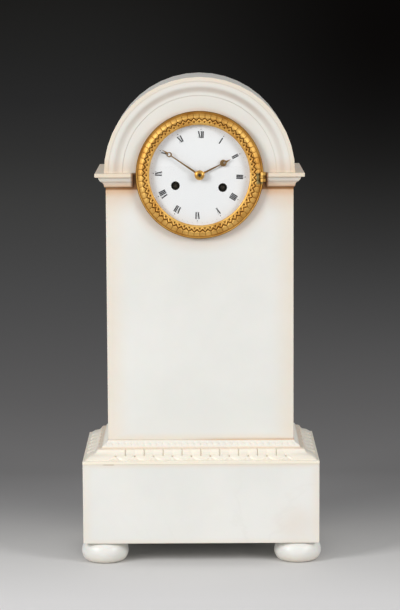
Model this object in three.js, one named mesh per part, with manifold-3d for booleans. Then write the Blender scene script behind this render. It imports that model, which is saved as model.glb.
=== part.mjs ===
// White marble mantel clock with a round striking movement.
// Millimetres, +Z up, the dial faces -Y. The origin is on the table, under the middle of the case.
import * as THREE from 'three';
import { mergeVertices } from 'three/addons/utils/BufferGeometryUtils.js';
import Module from 'manifold-3d';

const wasm = await Module();
wasm.setup();

// Fits
const seat = 0.3; // gap between pieces that are screwed, pinned or hooked together
const runningFit = 0.3; // radial play of a pivot or pipe

// Marble case
const plinthWidth = 237;
const plinthDepth = 163;
const plinthHeight = 81;
const arris = 0.5;
const footRadius = 23.7;
const footHeight = 21;
const footInset = 21.1;
const baseMouldingHeight = 20.5;
const baseStep = 25; // the shaft stands back from the plinth by this much all round
const shaftHeight = 269.5;
const wall = 12;
const impostHeight = 14.2;
const impostProjection = 10.75;
const impostGap = 3; // between the end of an impost and the bezel
const archOverhang = 1.5;
const archWall = 15;
const archivoltRelief = 3.2;
const archivoltWidth = 18.5;
const dialDrop = 2; // the dial centre is this far below the springing of the arch

// Dial furniture
const bezelRadius = 63.5;
const bezelDepth = 7;
const sightRadius = 50; // visible radius of the enamel
const glassRebate = 1.8;
const glassThickness = 1.2;
const glassCrown = 5.5;
const flangeThickness = 1.5;
const tubeRadius = 55.8;
const tubeWall = 1.8;
const frontTubeDepth = 12.5;
const webInner = 42;
const webThickness = 1.4;
const dialThickness = 1.2;
const dialFootRadius = 1;
const dialFootPitch = 38;
const rearTubeDepth = 16;
const rearSight = 47;
const doorDepth = 4.5;
const hingeHalf = 4.5;
const hingeDrop = 2; // the hinge stands this far below the level of the dial centre
const knuckleRadius = 1.6;
const hingePinRadius = 0.6;
const leafThickness = 1.5;
const buttonRadius = 4;
const strapWidth = 10;
const strapThickness = 1.5;
const strapPitch = 50.3;
const strapScrewRadius = 1.4;

// Hands
const dialTurn = 2.6; // degrees that the movement sits clockwise in its case
const handThickness = 0.8;
const handGap = 1; // between the hour hand and the minute hand
const minuteReach = 45;
const hourReach = 34.6;
const minuteTime = 301.8; // degrees clockwise from twelve
const hourTime = 61;
const minuteMoon = 36; // distance of the pierced ring from the centre
const minuteMoonRadius = 2.6;
const hourMoon = 26.2;
const hourMoonRadius = 3.4;
const handHub = 4.4;
const colletRadius = 2.6;
const colletHeight = 1.6;

// Movement
const plateRadius = 46;
const plateThickness = 2.5;
const plateSpacing = 28;
const pillarRadius = 2.6;
const pillarPlaces = [[26, 34], [-26, 34], [18, -38], [-18, -38]];
const pivotRadius = 0.5;
const arborRadius = 0.9;
const finePivot = 0.35;
const fineArbor = 0.55;
const wheelThickness = 1;
const windingX = 23.25;
const windingZ = -11.5;
const windingRadius = 2.2;
const windingTail = 1; // radius of the winding arbor in the back plate
const windingHole = 4.4;
const squareWidth = 3.6;
const drumRadius = 17;
const drumLength = 12;
const drumWall = 1.2;
const springTurns = 4;
const springSteps = 8; // to a turn
const springThickness = 0.7;
const ratchetRadius = 6.5;
const ratchetTeeth = 16;
const ratchetThickness = 1.4;
const clickRadius = 2;
const clickStudRadius = 0.8;
const hubRadius = 3.2;
const centreArbor = 0.9;
const cannonRadius = 2;
const hourPipeRadius = 3.2;
const studRadius = 1.2;
const pivotLength = 2;

// Trains: teeth and modules
const greatTeeth = 54;
const greatModule = 0.78;
const greatPinion = 9;
const intermediateTeeth = 45;
const intermediateModule = 0.61;
const centrePinion = 9;
const centreTeeth = 60;
const centreModule = 0.45;
const thirdPinion = 6;
const thirdTeeth = 60;
const thirdModule = 0.4;
const escapePinion = 6;
const escapeTeeth = 36;
const escapeRadius = 8.5;
const cannonTeeth = 8;
const minuteTeeth = 24;
const minuteModule = 0.75;
const minutePinion = 6;
const hourTeeth = 24;
const secondTeeth = 54;
const secondModule = 0.53;
const pinPinion = 6;
const pinTeeth = 42;
const pinModule = 0.47;
const lockingPinion = 6;
const lockingTeeth = 30;
const lockingModule = 0.42;
const flyPinion = 6;
const flyRadius = 6;
const liftingPins = 8;
const pinCircle = 8;
const countWheelRadius = 14.5;
const countNotches = 6;

// Striking train above the inside of the back plate
const pinWheelRise = 7.2;
const lockingWheelRise = 3.6;

// Pendulum, hammer and bell
const anchorHeight = 12.5; // anchor axis above the escape wheel
const palletClearance = 0.9; // lets the anchor swing freely past the wheel
const pendulumLength = 248; // two beats a second
const rodRadius = 0.9;
const bobRadius = 20;
const bobThickness = 9;
const rodTail = 12; // threaded end of the rod below the bob
const nutRadius = 4.5;
const nutHeight = 3;
const boreEnd = 2; // bores run this far past what they pass through
const pendulumBehindPlate = 11.1;
const bellBehindPendulum = 3.6;
const crutchLength = 46;
const crutchThickness = 1.2;
const springHalf = 0.2; // half the thickness of the suspension spring
const springLength = 14;
const bellRadius = 34;
const bellDepth = 18;
const bellWall = 1.5;
const hammerRadius = 3.5;
const hammerRest = 0.9; // between the hammer at rest and the bell
const frameScrew = 1.2; // radius of the pins and screws of the frame

// Levels and planes that follow from the sizes above
const plinthTop = footHeight + plinthHeight;
const mouldingTop = plinthTop + baseMouldingHeight;
const springing = mouldingTop + shaftHeight;
const dialZ = springing - dialDrop;
const shaftX = plinthWidth / 2 - baseStep;
const shaftY = plinthDepth / 2 - baseStep;
const archRadius = shaftX + archOverhang;
const caseHole = tubeRadius + 1.2;
const flangeRadius = bezelRadius - 1;
const flangeFace = shaftY + seat + flangeThickness;
const bezelBack = flangeFace + seat;
const bezelFace = bezelBack + bezelDepth;
const tubeEnd = flangeFace - frontTubeDepth - webThickness;
const plateFront = -(tubeEnd - seat);
const plateInside = plateFront + plateThickness;
const backPlateFront = plateInside + plateSpacing;
const backPlateRear = backPlateFront + plateThickness;
const impostEnd = bezelRadius + impostGap;
const pendulumY = backPlateRear + pendulumBehindPlate;
const hingeX = bezelRadius - 1.7; // in front of the rim, so that the rim turns clear of the impost
const hingeY = bezelBack + bezelDepth + 0.2;

const materials = {
  marble: new THREE.MeshStandardMaterial({ color: 0xe6e3da, roughness: 0.45, metalness: 0 }),
  gilt: new THREE.MeshStandardMaterial({ color: 0xc9963c, roughness: 0.3, metalness: 1 }),
  brass: new THREE.MeshStandardMaterial({ color: 0xb5924c, roughness: 0.35, metalness: 1 }),
  steel: new THREE.MeshStandardMaterial({ color: 0x8b8e92, roughness: 0.3, metalness: 1 }),
  enamel: new THREE.MeshStandardMaterial({ color: 0xeeeff0, roughness: 0.15, metalness: 0 }),
  glass: new THREE.MeshStandardMaterial({ color: 0xf4f8f8, roughness: 0.05, metalness: 0 }),
};

// A closed geometry as a solid that can be cut and joined.
function solid(geometry) {
  const bare = geometry.clone();
  bare.deleteAttribute('normal');
  bare.deleteAttribute('uv');
  const merged = mergeVertices(bare);
  const corners = merged.index.array;
  const triangles = [];
  for (let i = 0; i < corners.length; i += 3) {
    const [a, b, c] = [corners[i], corners[i + 1], corners[i + 2]];
    if (a !== b && b !== c && c !== a) triangles.push(a, b, c);
  }
  return new wasm.Manifold(new wasm.Mesh({
    numProp: 3,
    vertProperties: new Float32Array(merged.attributes.position.array),
    triVerts: new Uint32Array(triangles),
  }));
}

function geometryOf(body) {
  const mesh = body.getMesh();
  const geometry = new THREE.BufferGeometry();
  geometry.setAttribute('position', new THREE.BufferAttribute(mesh.vertProperties, 3));
  geometry.setIndex(new THREE.BufferAttribute(mesh.triVerts, 1));
  geometry.computeVertexNormals();
  return geometry;
}

const join = (...bodies) => bodies.reduce((whole, body) => whole.add(body));
const cut = (body, ...tools) => tools.reduce((rest, tool) => rest.subtract(tool), body);

function block(xs, ys, zs) {
  const size = [xs, ys, zs].map(([low, high]) => Math.abs(high - low));
  const middle = [xs, ys, zs].map(([low, high]) => (low + high) / 2);
  return solid(new THREE.BoxGeometry(...size).translate(...middle));
}

// A rod along the clock's depth, through the point x, z.
function rod(radius, y0, y1, [x, z] = [0, 0], sides = 12) {
  const length = Math.abs(y1 - y0);
  const geometry = new THREE.CylinderGeometry(radius, radius, length, sides);
  return solid(geometry.translate(x, (y0 + y1) / 2, z));
}

// A flat outline in x, z with a thickness from y0 to y1.
function plate(shape, y0, y1, curveSegments = 6) {
  const depth = y1 - y0;
  const geometry = new THREE.ExtrudeGeometry(shape, { depth, bevelEnabled: false, curveSegments });
  return solid(geometry.rotateX(Math.PI / 2).translate(0, y1, 0));
}

function outline(points) {
  return new THREE.Shape(points.map(([x, z]) => new THREE.Vector2(x, z)));
}

// A profile of [radius, height] points turned about +Y. It runs from axis to axis, or closes on itself.
function turned(profile, sides) {
  const points = profile.map(([r, y]) => new THREE.Vector2(r, y));
  if (profile[0][0] > 0) points.push(points[0].clone());
  if (THREE.ShapeUtils.area(points) < 0) points.reverse();
  return new THREE.LatheGeometry(points, sides);
}

const spun = (profile, sides = 48) => solid(turned(profile, sides));
const spunUpright = (profile, sides = 48) => solid(turned(profile, sides).rotateX(Math.PI / 2));
const ring = (outer, inner, y0, y1, sides = 48) =>
  spun([[inner, y0], [outer, y0], [outer, y1], [inner, y1]], sides);

// A rectangular block whose four sides carry the same profile of [inset, height] points, mitred at the corners.
function mouldedBlock(halfWidth, halfDepth, profile) {
  const corners = [[-1, -1], [1, -1], [1, 1], [-1, 1]];
  const positions = profile.flatMap(([inset, z]) =>
    corners.flatMap(([sx, sy]) => [sx * (halfWidth - inset), sy * (halfDepth - inset), z]));
  const top = 4 * (profile.length - 1);
  const index = [0, 2, 1, 0, 3, 2, top, top + 1, top + 2, top, top + 2, top + 3];
  for (let level = 0; level < top; level += 4) {
    for (let side = 0; side < 4; side += 1) {
      const [a, b] = [level + side, level + ((side + 1) % 4)];
      index.push(a, b, b + 4, a, b + 4, a + 4);
    }
  }
  const geometry = new THREE.BufferGeometry();
  geometry.setAttribute('position', new THREE.BufferAttribute(new Float32Array(positions), 3));
  geometry.setIndex(index);
  return solid(geometry);
}

const polar = ([x, z], radius, angle) => [x + radius * Math.cos(angle), z + radius * Math.sin(angle)];
const bearing = (from, to) => Math.atan2(to[1] - from[1], to[0] - from[0]);
const radians = (degrees) => THREE.MathUtils.degToRad(degrees);

const clock = new THREE.Group();
const movement = new THREE.Group();
movement.position.set(0, 0, dialZ);
movement.rotation.y = radians(dialTurn);
const furniture = new THREE.Group();
furniture.position.set(0, 0, dialZ);
clock.add(movement, furniture);

function piece(parent, name, body, material) {
  const mesh = new THREE.Mesh(geometryOf(body), material);
  mesh.name = name;
  parent.add(mesh);
  return mesh;
}

// Bun feet
const footProfile = [
  [0, 0], [0.5, 0], [0.72, 0.055], [0.87, 0.17], [0.965, 0.36], [1, 0.58], [0.975, 0.8], [0.9, 1], [0, 1],
].map(([r, height]) => [r * footRadius, height * footHeight]);
for (const [end, sy] of [['front', -1], ['rear', 1]]) {
  for (const [side, sx] of [['left', -1], ['right', 1]]) {
    const foot = piece(clock, `foot_${end}_${side}`, spunUpright(footProfile, 18), materials.marble);
    foot.position.set(sx * (plinthWidth / 2 - footInset), sy * (plinthDepth / 2 - footInset), 0);
  }
}

// Plinth block, with its arrises just eased
piece(clock, 'plinth', mouldedBlock(plinthWidth / 2, plinthDepth / 2, [
  [arris, footHeight], [0, footHeight + arris], [0, plinthTop - arris], [arris, plinthTop],
]), materials.marble);

// Base moulding: fillet, cyma reversa that carries the carved leaves, quirk and astragal
const baseProfile = [
  [0, 0], [0, 0.137], [0.1, 0.166], [0.264, 0.307], [0.44, 0.385], [0.52, 0.46], [0.58, 0.58], [0.628, 0.615],
  [0.74, 0.65], [0.765, 0.72], [0.84, 0.8], [0.93, 0.86], [0.975, 0.94], [1, 1],
];
piece(clock, 'base_moulding', mouldedBlock(plinthWidth / 2, plinthDepth / 2, baseProfile.map(
  ([inset, height]) => [inset * baseStep, plinthTop + height * baseMouldingHeight],
)), materials.marble);

// The shaft is a marble box, open above and below, with the lower half of the dial hole in front and behind
const dialHole = rod(caseHole, -plinthDepth, plinthDepth, [0, dialZ], 48);
piece(clock, 'shaft', cut(
  block([-shaftX, shaftX], [-shaftY, shaftY], [mouldingTop, springing]),
  block([wall - shaftX, shaftX - wall], [wall - shaftY, shaftY - wall], [mouldingTop - wall, springing + wall]),
  dialHole,
), materials.marble);

// Impost mouldings: each runs round one side of the case and stops short of the bezel
const impostProfile = [
  [0.88, 0], [0.83, 0.19], [0.7, 0.35], [0.6, 0.38], [0.47, 0.47], [0.36, 0.6], [0.31, 0.72],
  [0.03, 0.73], [0, 0.78], [0, 0.97], [0.02, 1],
];
const impostRing = cut(
  mouldedBlock(shaftX + impostProjection, shaftY + impostProjection, impostProfile.map(
    ([inset, height]) => [inset * impostProjection, springing - impostHeight + height * impostHeight],
  )),
  block([-shaftX, shaftX], [-shaftY, shaftY], [mouldingTop, springing + wall]),
);
for (const [side, sx] of [['left', -1], ['right', 1]]) {
  const outside = block(
    [sx * impostEnd, sx * plinthWidth], [-plinthDepth, plinthDepth], [mouldingTop, dialZ + wall],
  );
  piece(clock, `impost_${side}`, impostRing.intersect(outside), materials.marble);
}

// Arch: a hollow barrel with the same archivolt in front and behind
const archFace = shaftY + archivoltRelief;
const archivolt = [
  [1, 0], [0.97, 0.17], [0.8, 0.18], [0.67, 0.32], [0.58, 0.54], [0.5, 0.78], [0.4, 0.88],
  [0.22, 0.9], [0.2, 1], [0, 1],
].map(([inward, relief]) => [archRadius - inward * archivoltWidth, shaftY + relief * archivoltRelief]);
const archBlock = spun([
  [0, -shaftY],
  ...archivolt.map(([r, y]) => [r, -y]),
  ...archivolt.toReversed(),
  [0, shaftY],
], 44).translate([0, 0, springing]);
const archHollow = rod(archRadius - archWall, wall - shaftY, shaftY - wall, [0, springing], 20);
const belowSpringing = block([-plinthWidth, plinthWidth], [-plinthDepth, plinthDepth], [0, springing]);
piece(clock, 'arch', cut(archBlock, archHollow, dialHole, belowSpringing), materials.marble);

// A hinge stands upright in front of the rim of the bezel or of the rear door.
// side is -1 in front and 1 behind.
// Two arms of the fixed leaf reach round the rim, and hold the knuckles above and below the moving one.
function hinge(side) {
  const y = side * hingeY;
  const bore = hingePinRadius + runningFit;
  const third = hingeHalf / 3 - seat / 2;
  const armInside = bezelRadius + seat;
  const armOutside = armInside + leafThickness;
  const leafBack = side * (flangeFace - flangeThickness);
  const barrel = (low, high) => spunUpright(
    [[bore, low], [knuckleRadius, low], [knuckleRadius, high], [bore, high]], 8,
  ).translate([hingeX, y, 0]);
  const arm = (low, high) => join(
    block([armInside, armOutside], [leafBack, y + side * leafThickness / 2], [low, high]),
    block([hingeX + bore, armOutside], [y - leafThickness / 2, y + leafThickness / 2], [low, high]),
    barrel(low, high),
  );
  const leaf = block([bezelRadius - 5, armOutside], [leafBack, side * flangeFace], [-hingeHalf, hingeHalf]);
  const tongue = block([hingeX - knuckleRadius, hingeX - bore], [side * (bezelBack + 2), y], [-third, third]);
  const pinEnd = hingeHalf + 0.4;
  const pin = spunUpright([
    [0, -pinEnd], [hingePinRadius, -pinEnd], [hingePinRadius, pinEnd], [0, pinEnd],
  ], 8).translate([hingeX, y, 0]);
  const low = [0, 0, -hingeDrop];
  return {
    fixed: join(leaf, arm(-hingeHalf, -third - seat), arm(third + seat, hingeHalf)).translate(low),
    moving: join(tongue, barrel(-third, third)).translate(low),
    pin: pin.translate(low),
  };
}

// Dial ring: it fills the case hole in front, and its web carries the movement
const frontHinge = hinge(-1);
const tubeInner = tubeRadius - tubeWall;
const dialRing = spun([
  [webInner, -tubeEnd], [webInner, -tubeEnd - webThickness], [tubeInner, -tubeEnd - webThickness],
  [tubeInner, -flangeFace], [flangeRadius, -flangeFace], [flangeRadius, -shaftY - seat],
  [tubeRadius, -shaftY - seat], [tubeRadius, -tubeEnd],
], 32);
piece(furniture, 'dial_ring', join(dialRing, frontHinge.fixed), materials.gilt);
piece(furniture, 'bezel_hinge_pin', frontHinge.pin, materials.gilt);

// Bezel: rim, broad torus for the leaves, bead and a lip over the glass
const glassSeat = sightRadius + glassRebate;
const lipBack = bezelFace - 2.8;
const bezelSection = [
  [bezelRadius, bezelBack], [bezelRadius, bezelBack + 0.45 * bezelDepth],
  [bezelRadius - 1.9, bezelBack + 0.52 * bezelDepth],
  [bezelRadius - 3.4, bezelBack + 0.84 * bezelDepth], [bezelRadius - 5.6, bezelFace],
  [bezelRadius - 8.2, bezelBack + 0.93 * bezelDepth], [bezelRadius - 9.8, bezelBack + 0.78 * bezelDepth],
  [bezelRadius - 11.4, bezelBack + 0.84 * bezelDepth], [sightRadius, lipBack + 0.5], [sightRadius, lipBack],
  [glassSeat, lipBack], [glassSeat, bezelBack],
].map(([r, y]) => [r, -y]);
piece(furniture, 'bezel', join(spun(bezelSection, 40), frontHinge.moving), materials.gilt);

// Domed glass: a rim in the rebate and a shallow crown
function crown(radius, face, height, steps) {
  return Array.from({ length: steps + 1 }, (_, i) => {
    const r = radius * (1 - i / steps);
    return [r, face + height * (1 - (r / radius) ** 2)];
  });
}
const glassRadius = glassSeat - seat;
const glassFace = lipBack - seat;
piece(furniture, 'bezel_glass', spun([
  ...crown(glassRadius, glassFace - glassThickness, glassCrown, 3).reverse(),
  ...crown(glassRadius, glassFace, glassCrown, 3),
].map(([r, y]) => [r, -y]), 26), materials.glass);

// Rear ring and glazed door, hung like the bezel
const rearHinge = hinge(1);
const webY = flangeFace - 8;
const screwHole = (x) => rod(strapScrewRadius + runningFit, webY - 2, webY + 4, [x, 0], 8);
const rearRing = spun([
  [tubeRadius, flangeFace - rearTubeDepth], [tubeRadius, shaftY + seat], [flangeRadius, shaftY + seat],
  [flangeRadius, flangeFace], [tubeInner, flangeFace], [tubeInner, webY + webThickness],
  [rearSight, webY + webThickness], [rearSight, webY], [tubeInner, webY],
  [tubeInner, flangeFace - rearTubeDepth],
], 24);
piece(furniture, 'rear_ring', cut(
  join(rearRing, rearHinge.fixed), screwHole(strapPitch), screwHole(-strapPitch),
), materials.brass);
piece(furniture, 'rear_hinge_pin', rearHinge.pin, materials.brass);
const doorFace = bezelBack + doorDepth;
const buttonPitch = (bezelRadius + rearSight) / 2;
const doorRing = spun([
  [rearSight + glassRebate, bezelBack], [bezelRadius, bezelBack], [bezelRadius, doorFace - 1.5],
  [bezelRadius - 2, doorFace], [rearSight + 1, doorFace], [rearSight, doorFace - 1.5],
  [rearSight + glassRebate, doorFace - 1.5],
], 24);
const buttonHole = rod(1 + runningFit, bezelBack - 1, doorFace + 1, [-buttonPitch, 0], 8);
piece(furniture, 'rear_door', cut(join(doorRing, rearHinge.moving), buttonHole), materials.brass);
const rearGlassFace = doorFace - 1.5 - seat;
piece(furniture, 'rear_glass', rod(
  rearSight + glassRebate - seat, rearGlassFace - glassThickness, rearGlassFace, [0, 0], 24,
), materials.glass);
const doorButton = piece(furniture, 'door_button', join(
  rod(1, bezelBack + 0.5, doorFace + 1, [0, 0], 8),
  rod(buttonRadius, doorFace + seat, doorFace + seat + 2, [0, 0], 14),
  block([-0.8, 0.8], [doorFace + seat + 1.5, doorFace + seat + 5], [-buttonRadius + 0.3, buttonRadius - 0.3]),
), materials.brass);
doorButton.position.set(-buttonPitch, 0, 0);

// Two straps draw the rings together from inside the case
const lugY = webY - seat;
const headY = webY + webThickness + seat;
for (const [side, sx] of [['left', -1], ['right', 1]]) {
  const across = [sx * (strapPitch - strapThickness / 2), sx * (strapPitch + strapThickness / 2)];
  const wide = [-strapWidth / 2, strapWidth / 2];
  const lug = block([sx * (strapPitch - 3), sx * (strapPitch + 3)], [lugY - 4, lugY], wide);
  const bar = block(across, [-tubeEnd + seat, lugY - 2], wide);
  const bore = rod(strapScrewRadius + runningFit, lugY - 8, lugY + 1, [sx * strapPitch, 0], 8);
  piece(furniture, `strap_${side}`, cut(join(lug, bar), bore), materials.brass);
  piece(furniture, `strap_screw_${side}`, join(
    rod(strapScrewRadius, lugY - 6, webY + webThickness + 1, [sx * strapPitch, 0], 8),
    rod(2 * strapScrewRadius, headY, headY + 2, [sx * strapPitch, 0], 12),
  ), materials.steel);
}

// Dial: an enamelled disc on three feet
const dialBack = -flangeFace + 2;
const dialFront = dialBack - dialThickness;
const dialBlank = rod(tubeInner - 0.8, dialFront, dialBack, [0, 0], 30);
const dialCut = (place, radius) => rod(radius, dialFront - 1, dialBack + 1, place, 12);
const windingPlaces = [[windingX, windingZ], [-windingX, windingZ]];
const dialFeet = [90, 210, 330].map((angle) =>
  rod(dialFootRadius, dialBack - 0.5, plateFront - seat, polar([0, 0], dialFootPitch, radians(angle)), 6));
piece(movement, 'dial', cut(
  join(dialBlank, ...dialFeet),
  ...windingPlaces.map((place) => dialCut(place, windingHole)),
  dialCut([0, 0], hourPipeRadius + 0.6),
), materials.enamel);

// Gear outlines: a wheel has pointed teeth with spaces cut to a V, and a pinion has flat-topped leaves.
function toothed(teeth, module, phase, { root, tip, topShare }) {
  const pitch = (2 * Math.PI) / teeth;
  const middle = (teeth * module) / 2;
  return Array.from({ length: teeth }, (_, i) => {
    const angle = phase + i * pitch;
    const low = middle - root * module;
    const high = middle + tip * module;
    const space = polar([0, 0], low, angle - pitch / 2);
    const top = (sign) => polar([0, 0], high, angle + (sign * topShare * pitch) / 2);
    return topShare ? [space, top(-1), top(1)] : [space, top(0)];
  }).flat();
}
const wheelTooth = { root: 1.9, tip: 1.1, topShare: 0 };
const pinionLeaf = { root: 1.75, tip: 0.6, topShare: 0.2 };

function crossing(inner, outer, from, to) {
  const corner = (radius, angle) => polar([0, 0], radius, angle);
  return outline([
    corner(outer, from), corner(outer, (from + to) / 2), corner(outer, to),
    corner(inner, to), corner(inner, from),
  ]);
}

function wheelBody(teeth, module, phase, y, crossings = 4) {
  const shape = outline(toothed(teeth, module, phase, wheelTooth));
  const rim = (teeth * module) / 2 - wheelTooth.root * module - 1.1;
  const hub = 0.28 * rim + 1;
  for (let i = 0; i < crossings; i += 1) {
    const start = (2 * Math.PI * i) / crossings;
    shape.holes.push(crossing(hub, rim, start + 0.55 / hub, start + (2 * Math.PI) / crossings - 0.55 / hub));
  }
  return plate(shape, y, y + wheelThickness);
}

function pinionBody(leaves, module, phase, y0, y1) {
  return plate(outline(toothed(leaves, module, phase, pinionLeaf)), y0, y1);
}

// An arbor from its front pivot to its back end, which has a pivot or is cut off square
const arborFront = plateInside + seat;
function arborBody(radius = arborRadius, pivot = pivotRadius, back = backPlateFront - seat, backPivot = pivot) {
  return spun([
    [0, arborFront - pivotLength], [pivot, arborFront - pivotLength], [pivot, arborFront], [radius, arborFront],
    [radius, back], ...(backPivot ? [[backPivot, back], [backPivot, back + pivotLength]] : []),
    [0, backPivot ? back + pivotLength : back],
  ], 6);
}

// Where the arbors stand, from the teeth that mesh
const reach = (a, b, module) => ((a + b) * module) / 2;
const goingBarrelAt = [windingX, windingZ];
const strikeBarrelAt = [-windingX, windingZ];
const centreAt = [0, 0];

// The crossing point of two circles, on the left of the way from a to b
function meeting(a, radiusA, b, radiusB) {
  const distance = Math.hypot(b[0] - a[0], b[1] - a[1]);
  const along = (radiusA ** 2 - radiusB ** 2 + distance ** 2) / (2 * distance);
  return polar(a, radiusA, bearing(a, b) + Math.acos(along / radiusA));
}
const greatReach = reach(greatTeeth, greatPinion, greatModule);
const centreReach = reach(intermediateTeeth, centrePinion, intermediateModule);
const thirdReach = reach(centreTeeth, thirdPinion, centreModule);
const escapeReach = reach(thirdTeeth, escapePinion, thirdModule);
const intermediateAt = meeting(centreAt, centreReach, goingBarrelAt, greatReach);
const thirdAt = polar(centreAt, thirdReach, radians(116));
const escapeAt = [0, thirdAt[1] + Math.sqrt(escapeReach ** 2 - thirdAt[0] ** 2)];
const anchorAt = [0, escapeAt[1] + anchorHeight];
const secondAt = polar(strikeBarrelAt, greatReach, radians(98.8));
const pinWheelAt = polar(secondAt, reach(secondTeeth, pinPinion, secondModule), radians(49));
const lockingAt = polar(pinWheelAt, reach(pinTeeth, lockingPinion, pinModule), radians(52));
const flyAt = polar(lockingAt, reach(lockingTeeth, flyPinion, lockingModule), radians(145));
const motionReach = reach(minuteTeeth, cannonTeeth, minuteModule);
const hourModule = (2 * motionReach) / (minutePinion + hourTeeth);
const minuteAt = polar(centreAt, motionReach, radians(-90));
const hammerAt = [-42, 5];

// A tooth of one gear points at the other, and a space of the other faces it
const spaceFacing = (from, to, leaves) => bearing(from, to) + Math.PI / leaves;

// Plates: the front one carries pillars, a stud for the minute wheel and two for the clicks
function pivotHole(place, y, radius = pivotRadius) {
  return rod(radius + runningFit, y - 1, y + plateThickness + 1, place, radius > 1 ? 10 : 6);
}
const trainPlaces = [intermediateAt, thirdAt, escapeAt, pinWheelAt, lockingAt, flyAt];
const clickReach = ratchetRadius + 6;
const goingClickAt = polar(goingBarrelAt, clickReach, radians(-20));
const strikeClickAt = polar(strikeBarrelAt, clickReach, radians(200));
const studFront = plateFront - 7;
const minuteStud = rod(studRadius, studFront, plateInside - 1, minuteAt, 10);
const clickStud = (place) => rod(clickStudRadius, plateFront - 2.6, plateInside - 1, place, 8);
const pillar = (place) => rod(pillarRadius, plateInside - 1, backPlateFront, place, 8);
const pillarTail = (place) => rod(frameScrew, backPlateFront - 1, backPlateRear + 2.2, place, 6);
piece(movement, 'front_plate', cut(
  join(
    rod(plateRadius, plateFront, plateInside, [0, 0], 32), minuteStud, clickStud(goingClickAt),
    clickStud(strikeClickAt), ...pillarPlaces.map(pillar), ...pillarPlaces.map(pillarTail),
  ),
  ...[...trainPlaces, secondAt, hammerAt, anchorAt].map((place) => pivotHole(place, plateFront)),
  pivotHole(centreAt, plateFront, centreArbor),
  ...windingPlaces.map((place) => pivotHole(place, plateFront, windingRadius)),
), materials.brass);
piece(movement, 'back_plate', cut(
  rod(plateRadius, backPlateFront + seat, backPlateRear, [0, 0], 32),
  ...[...trainPlaces, centreAt].map((place) => pivotHole(place, backPlateFront)),
  ...[secondAt, hammerAt].map((place) => pivotHole(place, backPlateFront, arborRadius)),
  pivotHole(anchorAt, backPlateFront, arborRadius + 1.2),
  ...pillarPlaces.map((place) => pivotHole(place, backPlateFront, frameScrew)),
  ...windingPlaces.map((place) => pivotHole(place, backPlateFront, windingTail)),
), materials.brass);

// Barrels: a great wheel on a drum, a coiled mainspring and the winding arbor through both
const greatPlane = plateInside + 2.2;
const drumFront = plateInside + 4;
const drumBack = drumFront + drumLength;
const drumInner = drumRadius - drumWall;
const drumBore = windingRadius + runningFit;
const coilWidth = [drumFront + drumWall + seat, drumBack - drumWall - seat];
const ratchetFront = plateFront - seat - ratchetThickness;

// A flat coil from its inner to its outer radius
function spiral(inner, outer) {
  const steps = springSteps * springTurns;
  const side = (offset) => Array.from({ length: steps + 1 }, (_, i) =>
    polar([0, 0], inner + ((outer - inner) * i) / steps + offset, (2 * Math.PI * i) / springSteps));
  return outline([...side(springThickness), ...side(0).reverse()]);
}

// A wheel with saw teeth: each rises slowly to its tip and drops back at once by the height given
function sawToothed(teeth, tipRadius, height, undercut) {
  return outline(Array.from({ length: teeth }, (_, i) => {
    const angle = (2 * Math.PI * i) / teeth;
    return [polar([0, 0], tipRadius, angle), polar([0, 0], tipRadius - height, angle + undercut)];
  }).flat());
}

function barrel(name, at, follower) {
  const place = [at[0], 0, at[1]];
  const teeth = outline(toothed(greatTeeth, greatModule, bearing(at, follower), wheelTooth));
  const drum = spun([
    [drumBore, drumFront - 1], [drumRadius, drumFront - 1], [drumRadius, drumBack], [drumBore, drumBack],
    [drumBore, drumBack - drumWall], [drumInner, drumBack - drumWall], [drumInner, drumFront + drumWall],
    [drumBore, drumFront + drumWall],
  ], 16);
  const great = cut(
    plate(teeth, greatPlane, drumFront - 0.5), rod(drumBore, greatPlane - 1, drumFront + 1, [0, 0], 16),
  );
  piece(movement, `${name}_barrel`, join(drum, great).translate(place), materials.brass);
  const coil = plate(spiral(hubRadius + seat, drumInner - springThickness - seat), ...coilWidth);
  piece(movement, `${name}_mainspring`, coil.translate(place), materials.steel);
  const ratchet = sawToothed(ratchetTeeth, ratchetRadius, 1.3, 0.06);
  const tail = backPlateRear - 0.5;
  const half = squareWidth / 2;
  piece(movement, `${name}_winding_arbor`, join(
    spun([
      [0, ratchetFront - 0.2], [windingRadius, ratchetFront - 0.2], [windingRadius, backPlateFront - 0.5],
      [windingTail, backPlateFront - 0.5], [windingTail, tail], [0, tail],
    ], 8),
    rod(hubRadius, ...coilWidth, [0, 0], 8),
    plate(ratchet, ratchetFront, ratchetFront + ratchetThickness),
    block([-half, half], [dialFront + 1, ratchetFront], [-half, half]),
  ).translate(place), materials.steel);
}
barrel('going', goingBarrelAt, intermediateAt);
barrel('strike', strikeBarrelAt, secondAt);

// A click rocks on a stud of the front plate, with its nose beside the ratchet
function click(name, barrelAt, at) {
  const way = bearing(at, barrelAt);
  const nose = clickReach - ratchetRadius - seat;
  const arm = outline([
    polar([0, 0], 0.85 * clickRadius, way + 1.4), polar([0, 0], nose, way + 0.1),
    polar([0, 0], nose, way - 0.1), polar([0, 0], 0.85 * clickRadius, way - 1.4),
  ]);
  const depth = [ratchetFront, ratchetFront + ratchetThickness];
  piece(movement, name, cut(
    join(plate(arm, ...depth), rod(clickRadius, ...depth, [0, 0], 12)),
    rod(clickStudRadius + runningFit, plateFront - 4, plateFront, [0, 0], 8),
  ).translate([at[0], 0, at[1]]), materials.steel);
}
click('going_click', goingBarrelAt, goingClickAt);
click('strike_click', strikeBarrelAt, strikeClickAt);

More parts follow.
